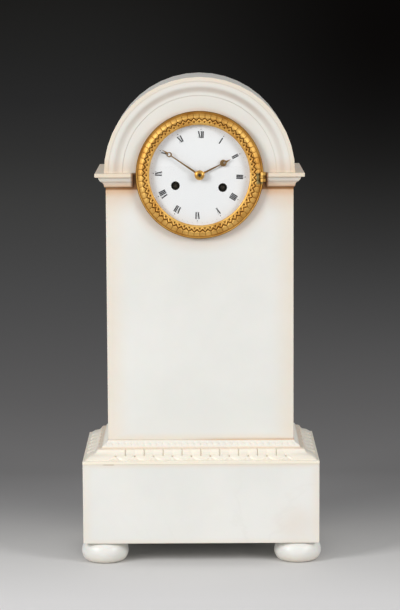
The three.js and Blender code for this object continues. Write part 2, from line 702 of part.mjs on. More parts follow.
// Going train. Each wheel shares its arbor with the pinion that the wheel before it drives.
const fastPlane = drumBack + 2; // centre wheel and strike second wheel
const backPlane = fastPlane + 3.6;
const thirdPlane = fastPlane - 6;
const escapePlane = backPlane + 2.2;
const pinionEnds = (plane) => [plane - 1, plane + 2];
const greatEnds = [greatPlane - 0.6, greatPlane + 2.4];
const centreFront = dialFront - 5.2;
function runner(name, at, ...bodies) {
  piece(movement, name, join(...bodies).translate([at[0], 0, at[1]]), materials.brass);
}
runner(
  'intermediate_wheel', intermediateAt, arborBody(),
  pinionBody(greatPinion, greatModule, spaceFacing(intermediateAt, goingBarrelAt, greatPinion), ...greatEnds),
  wheelBody(intermediateTeeth, intermediateModule, bearing(intermediateAt, centreAt), backPlane),
);
runner(
  'centre_wheel', centreAt,
  spun([
    [0, centreFront], [centreArbor, centreFront], [centreArbor, backPlateFront - seat],
    [pivotRadius, backPlateFront - seat], [pivotRadius, backPlateFront - seat + pivotLength],
    [0, backPlateFront - seat + pivotLength],
  ], 6),
  pinionBody(
    centrePinion, intermediateModule, spaceFacing(centreAt, intermediateAt, centrePinion),
    ...pinionEnds(backPlane),
  ),
  wheelBody(centreTeeth, centreModule, bearing(centreAt, thirdAt), fastPlane),
);
runner(
  'third_wheel', thirdAt, arborBody(fineArbor, finePivot),
  pinionBody(thirdPinion, centreModule, spaceFacing(thirdAt, centreAt, thirdPinion), ...pinionEnds(fastPlane)),
  wheelBody(thirdTeeth, thirdModule, bearing(thirdAt, escapeAt), thirdPlane),
);
const escapeShape = sawToothed(escapeTeeth, escapeRadius, 1.5, -0.06);
escapeShape.holes.push(...[0, 1, 2, 3].map((i) =>
  crossing(2.2, escapeRadius - 2.7, (i * Math.PI) / 2 + 0.25, ((i + 1) * Math.PI) / 2 - 0.25)));
runner(
  'escape_wheel', escapeAt, arborBody(fineArbor, finePivot),
  pinionBody(
    escapePinion, thirdModule, spaceFacing(escapeAt, thirdAt, escapePinion),
    ...pinionEnds(thirdPlane),
  ),
  plate(escapeShape, escapePlane, escapePlane + wheelThickness),
);

// Anchor with its arbor and the crutch, which bends upright and embraces the pendulum rod
const palletRadius = escapeRadius + palletClearance;
const crutchY = backPlateRear + 2.2;
const cockFront = crutchY + 3.3;
function anchorSide(sx) {
  const x = palletRadius * Math.sin(0.7);
  const z = palletRadius * Math.cos(0.7) - anchorHeight;
  return [
    [2.2, -1.9], [x - 0.6, z + 2.2], [x, z], [x + 1.2, z - 0.2], [x + 1.4, z + 2.8], [3.2, 1.1],
  ].map(([across, up]) => [sx * across, up]);
}
const anchorShape = outline([...anchorSide(1).toReversed(), ...anchorSide(-1)].reverse());
const forkGap = rodRadius + 0.4;
const forkTop = 3.5 - crutchLength;
const crutchDepth = [crutchY, crutchY + crutchThickness];
const prong = (sx) => block(
  [sx * forkGap, sx * (forkGap + 1)], [crutchY, pendulumY + rodRadius + 1], [-crutchLength, forkTop],
);
const crutch = outline([
  [-1.2, 0], [-1, forkTop + 0.5], [-forkGap - 1, forkTop], [-forkGap - 1, -crutchLength],
  [forkGap + 1, -crutchLength], [forkGap + 1, forkTop], [1, forkTop + 0.5], [1.2, 0],
]);
piece(movement, 'anchor', join(
  arborBody(arborRadius, pivotRadius, cockFront - 0.9),
  plate(anchorShape, escapePlane - 0.5, escapePlane + wheelThickness + 0.5),
  join(rod(2.2, ...crutchDepth, [0, 0], 12), plate(crutch, ...crutchDepth), prong(1), prong(-1))
    .rotate([0, -dialTurn, 0]),
).translate([anchorAt[0], 0, anchorAt[1]]), materials.steel);

// Back cock: a bridge on two legs that carries the anchor's rear pivot and the chops of the pendulum spring
const cockBack = cockFront + 1.8;
const cockHeight = [anchorAt[1] - 3, anchorAt[1] + 3];
const chopDepth = [cockFront + 1, pendulumY + 2.6];
const chopTop = anchorAt[1] + 5;
const cockLeg = (sx) => block([sx * 9, sx * 12], [backPlateRear + seat, cockBack], cockHeight);
const chop = (sx) => block([sx * (springHalf + 0.5), sx * 3.2], chopDepth, [anchorAt[1] + 0.6, chopTop]);
piece(movement, 'back_cock', cut(
  join(
    cockLeg(1), cockLeg(-1), block([-12, 12], [cockFront, cockBack], cockHeight), chop(1), chop(-1),
    block([-3.2, 3.2], chopDepth, [chopTop - 1.6, chopTop]),
  ),
  rod(pivotRadius + runningFit, cockFront - 1, cockFront + 1.4, anchorAt, 8),
), materials.brass);

// Pendulum: spring, rod, bob and rating nut hang plumb from the height of the anchor's axis
const pendulum = new THREE.Group();
pendulum.position.set(anchorAt[0], pendulumY, anchorAt[1]);
pendulum.rotation.y = -radians(dialTurn);
movement.add(pendulum);
const springFoot = -springLength - 4;
piece(pendulum, 'suspension_spring', join(
  block([-springHalf, springHalf], [-1.8, 1.8], [-springLength, 1.6]),
  block([-1.2, 1.2], [-2.4, 2.4], [springFoot, 0.5 - springLength]),
), materials.steel);
const bobZ = -pendulumLength;
const bobFoot = bobZ - bobRadius;
function upright(radius, low, high, sides = 10) {
  return spunUpright([[0, low], [radius, low], [radius, high], [0, high]], sides);
}
piece(pendulum, 'pendulum_rod', upright(rodRadius, bobFoot - rodTail, springFoot - seat, 8), materials.brass);
const bobCurve = [[0, 0.5], [0.6, 0.4], [0.95, 0.12], [1, 0], [0.95, -0.12], [0.6, -0.4], [0, -0.5]];
const bob = spun(bobCurve.map(([r, y]) => [r * bobRadius, y * bobThickness]), 18).translate([0, 0, bobZ]);
piece(pendulum, 'pendulum_bob', cut(
  bob, upright(rodRadius + runningFit, bobFoot - boreEnd, bobZ + bobRadius + boreEnd, 8),
), materials.brass);
piece(pendulum, 'rating_nut', cut(
  upright(nutRadius, bobFoot - seat - nutHeight, bobFoot - seat, 14),
  upright(rodRadius + runningFit, bobFoot - nutHeight - boreEnd, bobFoot, 8),
), materials.brass);

// Striking train
const pinPlane = plateInside + pinWheelRise;
const lockingPlane = plateInside + lockingWheelRise;
runner(
  'strike_second_wheel', secondAt, arborBody(arborRadius, pivotRadius, backPlateRear + 3, 0),
  pinionBody(greatPinion, greatModule, spaceFacing(secondAt, strikeBarrelAt, greatPinion), ...greatEnds),
  wheelBody(secondTeeth, secondModule, bearing(secondAt, pinWheelAt), fastPlane),
);
const liftingPin = (_, i) =>
  rod(0.5, pinPlane + 0.5, pinPlane + 3, polar([0, 0], pinCircle, (2 * Math.PI * i) / liftingPins), 4);
runner(
  'pin_wheel', pinWheelAt, arborBody(fineArbor, finePivot),
  pinionBody(pinPinion, secondModule, spaceFacing(pinWheelAt, secondAt, pinPinion), ...pinionEnds(fastPlane)),
  wheelBody(pinTeeth, pinModule, bearing(pinWheelAt, lockingAt), pinPlane),
  ...Array.from({ length: liftingPins }, liftingPin),
);
runner(
  'locking_wheel', lockingAt, arborBody(fineArbor, finePivot),
  pinionBody(
    lockingPinion, pinModule, spaceFacing(lockingAt, pinWheelAt, lockingPinion),
    ...pinionEnds(pinPlane),
  ),
  wheelBody(lockingTeeth, lockingModule, bearing(lockingAt, flyAt), lockingPlane),
);
runner(
  'fly', flyAt, arborBody(0.45, 0.3),
  pinionBody(flyPinion, lockingModule, spaceFacing(flyAt, lockingAt, flyPinion), ...pinionEnds(lockingPlane)),
  block([-flyRadius, flyRadius], [pinPlane + 4.4, pinPlane + 14], [-0.4, 0.4]),
);

// Count wheel: a flat disc on the tail of the second wheel's arbor, with notches in its edge
const countFront = backPlateRear + 0.9;
const countShape = outline(Array.from({ length: 4 * countNotches }, (_, i) => {
  const radius = i % 4 === 0 ? countWheelRadius - 2 : countWheelRadius;
  const step = Math.PI / (2 * countNotches);
  return [polar([0, 0], radius, i * step + 0.03), polar([0, 0], radius, (i + 1) * step - 0.03)];
}).flat());
piece(movement, 'count_wheel', cut(
  plate(countShape, countFront, countFront + 1),
  rod(arborRadius + runningFit, countFront - 1, countFront + 2, [0, 0], 8),
).translate([secondAt[0], 0, secondAt[1]]), materials.brass);

// A flat bar between two points
function bar(from, to, half, y0, y1) {
  const across = bearing(from, to) + Math.PI / 2;
  const end = (place, side) => polar(place, side * half, across);
  return plate(outline([end(from, 1), end(from, -1), end(to, -1), end(to, 1)]), y0, y1);
}

// Hammer: its tail waits beside the lifting pins and its head beside the bell
const bellMouth = pendulumY + bellBehindPendulum;
const headAt = polar([0, 0], bellRadius + hammerRest + hammerRadius, radians(150));
const tailTip = polar(pinWheelAt, pinCircle + 2.4, radians(193));
const armDepth = [crutchY + 0.6, crutchY + 2];
piece(movement, 'hammer', join(
  arborBody(arborRadius, pivotRadius, armDepth[1] + 0.2, 0).translate([hammerAt[0], 0, hammerAt[1]]),
  rod(2, ...armDepth, hammerAt, 10),
  bar(hammerAt, headAt, 1, ...armDepth),
  rod(hammerRadius, armDepth[0], bellMouth + 7, headAt, 12),
  bar(hammerAt, tailTip, 0.8, pinPlane + 1.4, pinPlane + 2.4),
), materials.steel);

// Bell on its stand, behind the pendulum
const bellCrown = bellMouth + bellDepth;
const bellInside = bellCrown - bellWall;
function bellCurve(radius, depth) {
  const side = [0, 0.5, 0.85].map((t) => [radius * Math.sqrt(1 - t ** 2.2), bellMouth + depth * t]);
  return [...side, [0.2 * radius, bellMouth + depth]];
}
piece(movement, 'bell', cut(
  spun([
    ...bellCurve(bellRadius, bellDepth), [0, bellCrown], [0, bellInside],
    ...bellCurve(bellRadius - bellWall, bellDepth - bellWall).reverse(),
  ], 16),
  rod(frameScrew + runningFit, bellMouth, bellCrown + 2, [0, 0], 8),
), materials.brass);
const postAt = polar([0, 0], bellRadius + 7.6, radians(-55));
const strip = [bellCrown + seat, bellCrown + seat + 1.6];
piece(movement, 'bell_stand', join(
  rod(2.2, backPlateRear + seat, strip[1], postAt, 12),
  bar(postAt, [0, 0], 2.6, ...strip),
  rod(3.4, ...strip, [0, 0], 12),
  rod(frameScrew, bellCrown - 6, strip[0] + 0.7, [0, 0], 8),
), materials.steel);
piece(movement, 'bell_nut', cut(
  rod(2.8, bellInside - seat - 2.4, bellInside - seat, [0, 0], 6),
  rod(frameScrew + runningFit, bellCrown - 8, bellCrown, [0, 0], 8),
), materials.steel);

// Motion work behind the dial
const hourHandY = dialFront - 1.6;
const minuteHandY = hourHandY - handThickness - handGap;
const cannonInner = centreArbor + runningFit;
const cannonFront = minuteHandY - handThickness - 0.3;
const cannonPlane = plateFront - 4.4;
const hourPlane = cannonPlane - 2.6;
const pipeInner = cannonRadius + runningFit;
piece(movement, 'cannon_pinion', join(
  ring(cannonRadius, cannonInner, cannonFront, plateFront - seat, 12),
  cut(
    pinionBody(
      cannonTeeth, minuteModule, spaceFacing(centreAt, minuteAt, cannonTeeth),
      cannonPlane - 0.4, cannonPlane + 2.2,
    ),
    rod(cannonInner + 0.3, cannonPlane - 2, cannonPlane + 4, [0, 0], 12),
  ),
), materials.steel);
const hourShape = outline(
  toothed(hourTeeth, hourModule, spaceFacing(centreAt, minuteAt, hourTeeth), wheelTooth),
);
piece(movement, 'hour_wheel', join(
  ring(hourPipeRadius, pipeInner, hourHandY - handThickness - 0.2, hourPlane + wheelThickness, 12),
  cut(
    plate(hourShape, hourPlane, hourPlane + wheelThickness),
    rod(pipeInner + 0.3, hourPlane - 2, hourPlane + 3, [0, 0], 12),
  ),
), materials.brass);
const minuteShape = outline(toothed(minuteTeeth, minuteModule, bearing(minuteAt, centreAt), wheelTooth));
runner('minute_wheel', minuteAt, cut(
  join(
    plate(minuteShape, cannonPlane + 0.4, cannonPlane + 0.4 + wheelThickness),
    pinionBody(minutePinion, hourModule, bearing(minuteAt, centreAt), hourPlane - 0.4, cannonPlane + 0.6),
    rod(studRadius + 0.7, cannonPlane + 1, plateFront - seat, [0, 0], 10),
  ),
  rod(studRadius + runningFit, studFront - 4, plateFront + 2, [0, 0], 10),
));

// Hands with a ring near the tip, whose hole is off its middle
function hand(reachLength, moonAt, moonRadius, hubHole, y) {
  const depth = [y - handThickness, y];
  const bored = [y - handThickness - 1, y + 1];
  const stem = outline([[-1, 0], [-0.5, moonAt - moonRadius + 0.4], [0.5, moonAt - moonRadius + 0.4], [1, 0]]);
  const tipRoot = moonAt + moonRadius - 0.5;
  const tip = outline([[1.1, tipRoot], [0, reachLength], [-1.1, tipRoot]]);
  return cut(
    join(plate(stem, ...depth), plate(tip, ...depth), rod(moonRadius, ...depth, [0, moonAt], 16),
      rod(handHub, ...depth, [0, 0], 20)),
    rod(0.6 * moonRadius, ...bored, [0, moonAt + 0.12 * moonRadius], 12),
    rod(hubHole, ...bored, [0, 0], 12),
  );
}
const minuteHand = hand(minuteReach, minuteMoon, minuteMoonRadius, cannonRadius + runningFit, minuteHandY);
piece(movement, 'minute_hand', minuteHand, materials.gilt).rotation.y = radians(minuteTime);
const hourHand = hand(hourReach, hourMoon, hourMoonRadius, hourPipeRadius + runningFit, hourHandY);
piece(movement, 'hour_hand', hourHand, materials.gilt).rotation.y = radians(hourTime);
const colletBack = cannonFront - seat;
piece(movement, 'hand_collet', cut(
  spun([
    [0, colletBack - colletHeight], [0.6 * colletRadius, colletBack - colletHeight],
    [colletRadius, colletBack - 0.6], [colletRadius, colletBack], [0, colletBack],
  ], 14),
  rod(centreArbor + runningFit, centreFront - 1, colletBack + 1, [0, 0], 8),
), materials.gilt);

export default clock;
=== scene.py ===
from math import pi, radians

import bpy
import numpy as np
from mathutils import Matrix, Vector


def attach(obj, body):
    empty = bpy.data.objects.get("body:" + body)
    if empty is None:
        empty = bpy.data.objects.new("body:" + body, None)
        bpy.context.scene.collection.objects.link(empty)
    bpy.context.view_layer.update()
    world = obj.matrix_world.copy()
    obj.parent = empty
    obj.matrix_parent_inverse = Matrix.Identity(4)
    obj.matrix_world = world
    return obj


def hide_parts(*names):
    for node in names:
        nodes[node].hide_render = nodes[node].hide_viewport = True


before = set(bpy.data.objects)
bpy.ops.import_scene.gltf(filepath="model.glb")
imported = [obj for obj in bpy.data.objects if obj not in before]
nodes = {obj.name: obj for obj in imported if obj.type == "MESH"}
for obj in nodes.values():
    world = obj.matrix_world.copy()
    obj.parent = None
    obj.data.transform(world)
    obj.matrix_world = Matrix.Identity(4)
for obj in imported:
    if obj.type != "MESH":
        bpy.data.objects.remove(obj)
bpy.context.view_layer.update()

# The viewpoint of the picture.
# A long lens stands two and a half metres in front of the clock, a little above its top, and looks slightly
# down. It leans by a third of a degree, as the picture does.
eye = (-0.0002, -2.459, 0.5783)
focal_length = 142.8
looks_down = 7.565
leans = 0.29
lens = bpy.data.cameras.new("picture_camera")
lens.lens = focal_length
viewpoint = bpy.data.objects.new("picture_camera", lens)
bpy.context.scene.collection.objects.link(viewpoint)
viewpoint.matrix_world = (
    Matrix.Translation(eye)
    @ Matrix.Rotation(radians(90 - looks_down), 4, "X")
    @ Matrix.Rotation(radians(-leans), 4, "Z")
)
bpy.context.scene.camera = viewpoint
bpy.context.scene.view_settings.view_transform = "Standard"


# The table and the room.
# A pale matt table top carries the clock. It falls into shade behind the clock, most of all on the right.
# The room is brighter in front of the clock than behind it, and two soft lamps stand at the sides.
def linear(red, green, blue):
    """A colour on the 0 to 255 scale of a screen as linear light: c / 12.92 up to 0.04045, above it
    ((c + 0.055) / 1.055) to the power 2.4."""
    screen = np.array([red, green, blue]) / 255
    light = np.where(screen <= 0.04045, screen / 12.92, ((screen + 0.055) / 1.055) ** 2.4)
    return (*light.tolist(), 1.0)


class Term:
    """A value in a node tree. Sums, differences, products, quotients and powers of terms add Math nodes."""

    def __init__(self, tree, socket):
        self.tree = tree
        self.socket = socket

    def node(self, kind, settings, inputs, output=0):
        """Adds a node of that type with its settings, then the values or links of its sockets."""
        made = self.tree.nodes.new(kind)
        for key, setting in settings.items():
            if key == "stops":
                ramp = made.color_ramp
                for _ in range(len(setting) - 2):
                    ramp.elements.new(0.5)
                for element, (place, colour) in zip(ramp.elements, setting):
                    element.position = place
                    element.color = colour
            else:
                setattr(made, key, setting)
        for key, value in inputs.items():
            if isinstance(value, Term):
                self.tree.links.new(value.socket, made.inputs[key])
            else:
                made.inputs[key].default_value = value
        return Term(self.tree, made.outputs[output])

    def maths(self, operation, first, second=0.0):
        return self.node("ShaderNodeMath", {"operation": operation}, {0: first, 1: second})

    def __add__(self, other):
        return self.maths("ADD", self, other)

    def __radd__(self, other):
        return self.maths("ADD", other, self)

    def __sub__(self, other):
        return self.maths("SUBTRACT", self, other)

    def __rsub__(self, other):
        return self.maths("SUBTRACT", other, self)

    def __mul__(self, other):
        return self.maths("MULTIPLY", self, other)

    def __rmul__(self, other):
        return self.maths("MULTIPLY", other, self)

    def __truediv__(self, other):
        return self.maths("DIVIDE", self, other)

    def __pow__(self, other):
        return self.maths("POWER", self, other)

    def __abs__(self):
        return self.maths("ABSOLUTE", self)

    def least(self, other):
        return self.maths("MINIMUM", self, other)

    def most(self, other):
        return self.maths("MAXIMUM", self, other)

    def rise(self, low, high):
        """0 below low, 1 above high, and a smooth step between them. It falls where low is above high."""
        return self.node(
            "ShaderNodeMapRange",
            {"interpolation_type": "SMOOTHSTEP"},
            {"Value": self, "From Min": low, "From Max": high, "To Min": 0.0, "To Max": 1.0},
        )

    def axes(self):
        """The x, y and z of a vector."""
        return [self.node("ShaderNodeSeparateXYZ", {}, {0: self}, output) for output in range(3)]

    def noise(self, scale, detail=3.0, rough=0.5):
        """Soft random patches, about 1 / scale metres across, between 0 and 1."""
        return self.node(
            "ShaderNodeTexNoise", {}, {"Vector": self, "Scale": scale, "Detail": detail, "Roughness": rough}
        )

    def blend(self, first, second):
        """The first colour where this value is 0, the second where it is 1."""
        return self.node("ShaderNodeMix", {"data_type": "RGBA"}, {0: self, 6: first, 7: second}, output=2)


class Finish(Term):
    """A material with one Principled shader. Object coordinates, in metres, are its first term."""

    def __init__(self, name, **constants):
        self.material = bpy.data.materials.new(name)
        self.material.use_nodes = True
        self.tree = self.material.node_tree
        self.shader = self.tree.nodes["Principled BSDF"]
        self.socket = self.tree.nodes.new("ShaderNodeTexCoord").outputs["Object"]
        for key, value in constants.items():
            self.shader.inputs[key.replace("_", " ")].default_value = value

    def set(self, key, term):
        self.tree.links.new(term.socket, self.shader.inputs[key])

    def relief(self, height, distance):
        """Raises the surface by height times distance, in metres, in its shading only."""
        bump = self.node("ShaderNodeBump", {}, {"Height": height, "Distance": distance, "Strength": 1.0})
        self.set("Normal", bump)


table_radii = np.array([0.4, 1.0, 3.0, 10.0, 30.0, 90.0, 240.0])
table_steps = 96
table_turn = np.linspace(0, 2 * pi, table_steps, endpoint=False)
table_rings = np.stack([
    np.outer(table_radii, np.cos(table_turn)),
    np.outer(table_radii, np.sin(table_turn)),
    np.zeros((table_radii.size, table_steps)),
], -1)
table_points = np.concatenate([[[0, 0, 0]], table_rings.reshape(-1, 3)])
spokes = np.arange(table_steps)
table_faces = [[0, 1 + i, 1 + (i + 1) % table_steps] for i in range(table_steps)]
for level in range(table_radii.size - 1):
    inner = 1 + level * table_steps + spokes
    beside = 1 + level * table_steps + (spokes + 1) % table_steps
    table_faces += np.stack([inner, inner + table_steps, beside + table_steps, beside], -1).tolist()
table_mesh = bpy.data.meshes.new("table_top")
table_mesh.from_pydata(table_points, [], table_faces)
table_top = bpy.data.objects.new("table_top", table_mesh)
bpy.context.scene.collection.objects.link(table_top)

# nearness is 1 on the line 0.3 m in front of the clock, and 0 far away. Each stop gives it a colour.
bright_line = -0.3
to_bright_line = 2.16
cloth = Finish("table_top", Roughness=0.9, Specular_IOR_Level=0.0)
across, along, _ = cloth.axes()
distance = abs(along - bright_line) + to_bright_line
nearness = distance ** -1.0 * to_bright_line
shade = nearness.node(
    "ShaderNodeValToRGB",
    {"stops": [
        (0.0, linear(49, 48, 46)),
        (0.1, linear(59, 59, 58)),
        (0.18, linear(68, 68, 68)),
        (0.26, linear(81, 81, 80)),
        (0.34, linear(96, 96, 95)),
        (0.47, linear(110, 110, 110)),
        (0.65, linear(125, 124, 124)),
        (0.76, linear(137, 136, 136)),
        (0.815, linear(167, 166, 166)),
        (0.845, linear(188, 187, 186)),
        (0.875, linear(202, 201, 200)),
        (0.91, linear(217, 216, 215)),
        (0.97, linear(228, 227, 227)),
    ]},
    {0: nearness},
)
far_right = (across / distance).rise(-0.06, 0.08) * nearness.rise(0.66, 0.04)
cloth.set("Base Color", far_right.blend(shade, linear(22, 20, 19)))
table_mesh.materials.append(cloth.material)

world = bpy.data.worlds.new("room")
world.use_nodes = True
bpy.context.scene.world = world
room = world.node_tree
backing = room.nodes["Background"]
path = room.nodes.new("ShaderNodeLightPath")
seen = Term(room, path.outputs["Is Camera Ray"]).most(Term(room, path.outputs["Is Transmission Ray"]))
rightward, backward, _ = Term(room, room.nodes.new("ShaderNodeTexCoord").outputs["Generated"]).axes()
light = backward.rise(-0.1, -0.8).blend(linear(150, 150, 151), linear(205, 205, 205))
backdrop = rightward.rise(-0.06, 0.08).blend(linear(34, 33, 32), linear(12, 11, 9))
room.links.new(seen.blend(light, backdrop).socket, backing.inputs["Color"])
backing.inputs["Strength"].default_value = 1.0
lit_point = (0, 0, 0.28)


def softbox(name, place, width, height, power):
    """A rectangular lamp at that place, turned to the lit point. Power is in watts."""
    lamp = bpy.data.lights.new(name, "AREA")
    lamp.shape = "RECTANGLE"
    lamp.size = width
    lamp.size_y = height
    lamp.energy = power
    carrier = bpy.data.objects.new(name, lamp)
    bpy.context.scene.collection.objects.link(carrier)
    carrier.location = place
    aim = Vector(lit_point) - carrier.location
    carrier.rotation_euler = aim.to_track_quat("-Z", "Y").to_euler()


softbox("left_softbox", (-1.25, -1.1, 0.88), 0.6, 0.6, 16.5)
softbox("right_softbox", (1.25, -1.1, 0.88), 0.6, 0.6, 11)


# Bun feet.
# Four turned feet of the same white marble, pinned under the corners of the plinth.
# Turned marble is polished like the flat slabs, so the finish of all the marble is made here.
def marble(name, edge=None, stain_and_painted_light=None, dirt_and_painted_shade=None, hollows=False, cream=linear(233, 218, 196)):
    """White marble: cloudy white and faint warm grey, thin pale veins, cream where edge is 1, peach brown
    where the stain mask is 1, and dark brown where the dirt mask is 1. The stain mask marks real stains,
    and in places a painted warm reflection of the gilding and painted shade; the dirt mask marks real dirt,
    and in places painted shade and painted shadow. The veins are the narrow band where a bent noise
    passes through its middle."""
    stone = Finish(name, Specular_IOR_Level=0.45, Subsurface_Weight=0.08, Subsurface_Scale=0.004)
    cloud = stone.noise(9.0, 4.0, 0.55).rise(0.3, 0.7)
    fine = stone.noise(42.0, 4.0, 0.6)
    body = cloud.blend(linear(228, 228, 223), linear(235, 234, 229))
    drift = stone.node(
        "ShaderNodeTexNoise", {}, {"Vector": stone, "Scale": 5.5, "Detail": 6.0, "Distortion": 1.3}
    )
    vein = abs(drift - 0.5).rise(0.02, 0.0) * 0.12 * stone.noise(4.0).rise(0.45, 0.75)
    body = vein.blend(body, linear(205, 203, 197))
    blotch = stone.noise(26.0, 4.0, 0.6)
    for where, colour, patchy in (
        (edge, cream, 0.55 + 0.7 * fine),
        (stain_and_painted_light, linear(214, 170, 126), 0.45 + 1.0 * blotch),
        (dirt_and_painted_shade, linear(140, 96, 54), 0.6 + 0.7 * blotch),
    ):
        if where is not None:
            body = (where(*stone.axes()) * patchy).least(1.0).blend(body, colour)
    if hollows:
        depth = stone.node("ShaderNodeAttribute", {"attribute_name": "hollow"}, {}, "Fac")
        body = (depth * 0.7).blend(body, linear(188, 164, 134))
    stone.set("Base Color", body)
    stone.set("Roughness", 0.26 + 0.2 * fine)
    stone.relief(stone.noise(260.0, 2.0), 0.00006)
    return stone.material


def box_of(name):
    """The lowest and the highest corner of a CAD node, in metres, to a hundredth of a millimetre."""
    corners = np.array([nodes[name].matrix_world @ Vector(corner) for corner in nodes[name].bound_box])
    return corners.min(axis=0).round(5).tolist(), corners.max(axis=0).round(5).tolist()


def dress(name, material, arris=0.0, segments=2):
    """Gives a CAD node its finish. Its loose triangles are welded and shaded smooth, and its sharp edges
    are rounded by arris metres, or only kept sharp where arris is 0."""
    node = nodes[name]
    node.data.materials.clear()
    node.data.materials.append(material)
    node.data.polygons.foreach_set("use_smooth", np.ones(len(node.data.polygons), bool))
    weld = node.modifiers.new("weld", "WELD")
    weld.merge_threshold = 0.000005
    if arris > 0:
        ease = node.modifiers.new("eased_edges", "BEVEL")
        ease.width = arris
        ease.segments = segments
        ease.limit_method = "ANGLE"
        ease.angle_limit = radians(28)
        flat = node.modifiers.new("flat_faces", "WEIGHTED_NORMAL")
        flat.weight = 100
        flat.keep_sharp = True
    else:
        crisp = node.modifiers.new("crisp_edges", "EDGE_SPLIT")
        crisp.split_angle = radians(32)


def made(name, points, faces, material, body, slot_name, covered=(), crease=40, hollow=None):
    """Puts a closed surface into the scene, smooth but for creases, riding on a body in place of what it
    covers. hollow is kept on its points: 1 in the bottom of the carving, 0 on top."""
    mesh = bpy.data.meshes.new(name)
    mesh.from_pydata(points, [], faces)
    mesh.materials.append(material)
    mesh.polygons.foreach_set("use_smooth", np.ones(len(mesh.polygons), bool))
    mesh.set_sharp_from_angle(angle=radians(crease))
    if hollow is not None:
        mesh.attributes.new("hollow", "FLOAT", "POINT").data.foreach_set("value", hollow.ravel())
    thing = bpy.data.objects.new(name, mesh)
    bpy.context.scene.collection.objects.link(thing)
    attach(thing, body)
    if covered:
        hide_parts(*covered)


def band_faces(levels, around):
    """Quads between rings of points. Each ring has the same number of points and closes on itself."""
    ring_start = np.arange(levels - 1)[:, None] * around
    i = np.arange(around)[None, :]
    first = (ring_start + i).ravel()
    second = (ring_start + (i + 1) % around).ravel()
    return np.stack([first, second, second + around, first + around], -1)


def tube_faces(levels, around):
    """The same quads, and those from the last ring of points back to the first, which close the surface."""
    i = np.arange(around)
    ahead = (i + 1) % around
    last = (levels - 1) * around
    return np.concatenate([band_faces(levels, around), np.stack([last + i, last + ahead, ahead, i], -1)])


def capped_faces(levels, around):
    """The same quads as a list, and one face that fills the first ring and one that fills the last."""
    last = (levels - 1) * around
    ends = [list(range(around))[::-1], [last + i for i in range(around)]]
    return band_faces(levels, around).tolist() + ends


def turned_upright(profile, centre, around=96):
    """Points and faces of a turned piece that stands upright on that centre. Each row of the profile is a
    radius and a height, from the bottom to the top."""
    turn = np.linspace(0, 2 * pi, around, endpoint=False)
    rings = np.stack([
        centre[0] + profile[:, :1] * np.cos(turn),
        centre[1] + profile[:, :1] * np.sin(turn),
        profile[:, 1:] + 0 * turn,
    ], -1)
    return rings.reshape(-1, 3), capped_faces(len(profile), around)


foot_low, foot_high = box_of("foot_front_left")
foot_radius = (foot_high[1] - foot_low[1]) / 2
foot_height = foot_high[2]
swing = np.linspace(-0.5 * pi, 0.5 * pi, 33)
belly = np.sign(np.sin(swing)) * np.abs(np.sin(swing)) ** 1.12
foot_profile = np.stack([
    foot_radius * (0.6 + 0.4 * np.cos(swing) ** 0.78), foot_height * (0.5 + 0.5 * belly)
], -1)
foot_marble = marble("foot_marble", edge=lambda x, y, z: z.rise(0.012, 0.0) * 0.5)
for corner in ("front_left", "front_right", "rear_left", "rear_right"):
    low, high = box_of(f"foot_{corner}")
    centre = ((low[0] + high[0]) / 2, (low[1] + high[1]) / 2)
    foot_points, foot_faces = turned_upright(foot_profile, centre)
    covered = [f"foot_{corner}"]
    made(f"turned_foot_{corner}", foot_points, foot_faces, foot_marble, "case", "marble", covered)


# Plinth.
# One plain block of white marble, sawn and polished, with its arrises just eased.
# Old handling and damp have turned its edges cream.
plinth_low, plinth_high = box_of("plinth")
outer_x, outer_y, plinth_top = plinth_high
plinth_middle = (plinth_low[2] + plinth_top) / 2
plinth_half = plinth_top - plinth_middle
trace_x = -0.0925


def plinth_edge(x, y, z):
    """Strongest at the four upright corners and at the top and bottom edges, fading over about 10 mm."""
    side = (abs(x) - outer_x).most(abs(y) - outer_y)
    upright = (abs(x) - outer_x + abs(y) - outer_y).rise(-0.012, 0.0)
    level = abs(z - plinth_middle).rise(plinth_half - 0.0065, plinth_half)
    return upright.most(level) * side.rise(-0.02, 0.0) * 0.4


def plinth_stain(x, y, z):
    """A weak brown bloom low at the front right corner and a thin one under the moulding."""
    bloom = ((x - 0.095) ** 2.0 + (z - 0.04) ** 2.0) ** 0.5
    thin = z.rise(plinth_top - 0.004, plinth_top)
    return bloom.rise(0.03, 0.0) * y.rise(-0.06, -0.08) * 0.16 + thin * 0.12


def plinth_dirt(x, y, z):
    """A short brown trace at the top edge, near the left corner of the front."""
    at_top = z.rise(plinth_top - 0.0012, plinth_top - 0.0002)
    return at_top * abs(x - trace_x).rise(0.007, 0.004) * y.rise(-0.07, -0.08) * 0.7


dress("plinth", marble("plinth_marble", plinth_edge, plinth_stain, plinth_dirt), 0.0003, 1)


# Base moulding.
# A marble slab carved all round with broad water leaves, and above them a fine row of beads by the shaft.
# The carving stands about a millimetre proud of the profile that the mason first ran along the slab.
shaft_low, shaft_high = box_of("shaft")
shaft_x, shaft_y = shaft_high[:2]
slab_height = shaft_low[2] - plinth_top
slab_step = outer_x - shaft_x
leaf_pitch = 0.01895
beads_in_a_leaf = 3
# The run is that first profile, as shares of the slab's step and height. The leaf band and the bead row lie
# between two shares of the step. The plain leaf at a mitre is as long as so many pitches.
leaf_ends = (0.1, 0.628)
bead_ends = (0.765, 0.975)
plain_leaf = 1.28
run = np.array([
    [0, 0], [0, 0.137], [0.1, 0.166], [0.264, 0.307], [0.44, 0.385], [0.52, 0.46], [0.58, 0.58],
    [0.628, 0.615], [0.74, 0.65], [0.765, 0.72], [0.84, 0.8], [0.93, 0.86], [0.975, 0.94], [1, 1],
]) * [slab_step, slab_height]


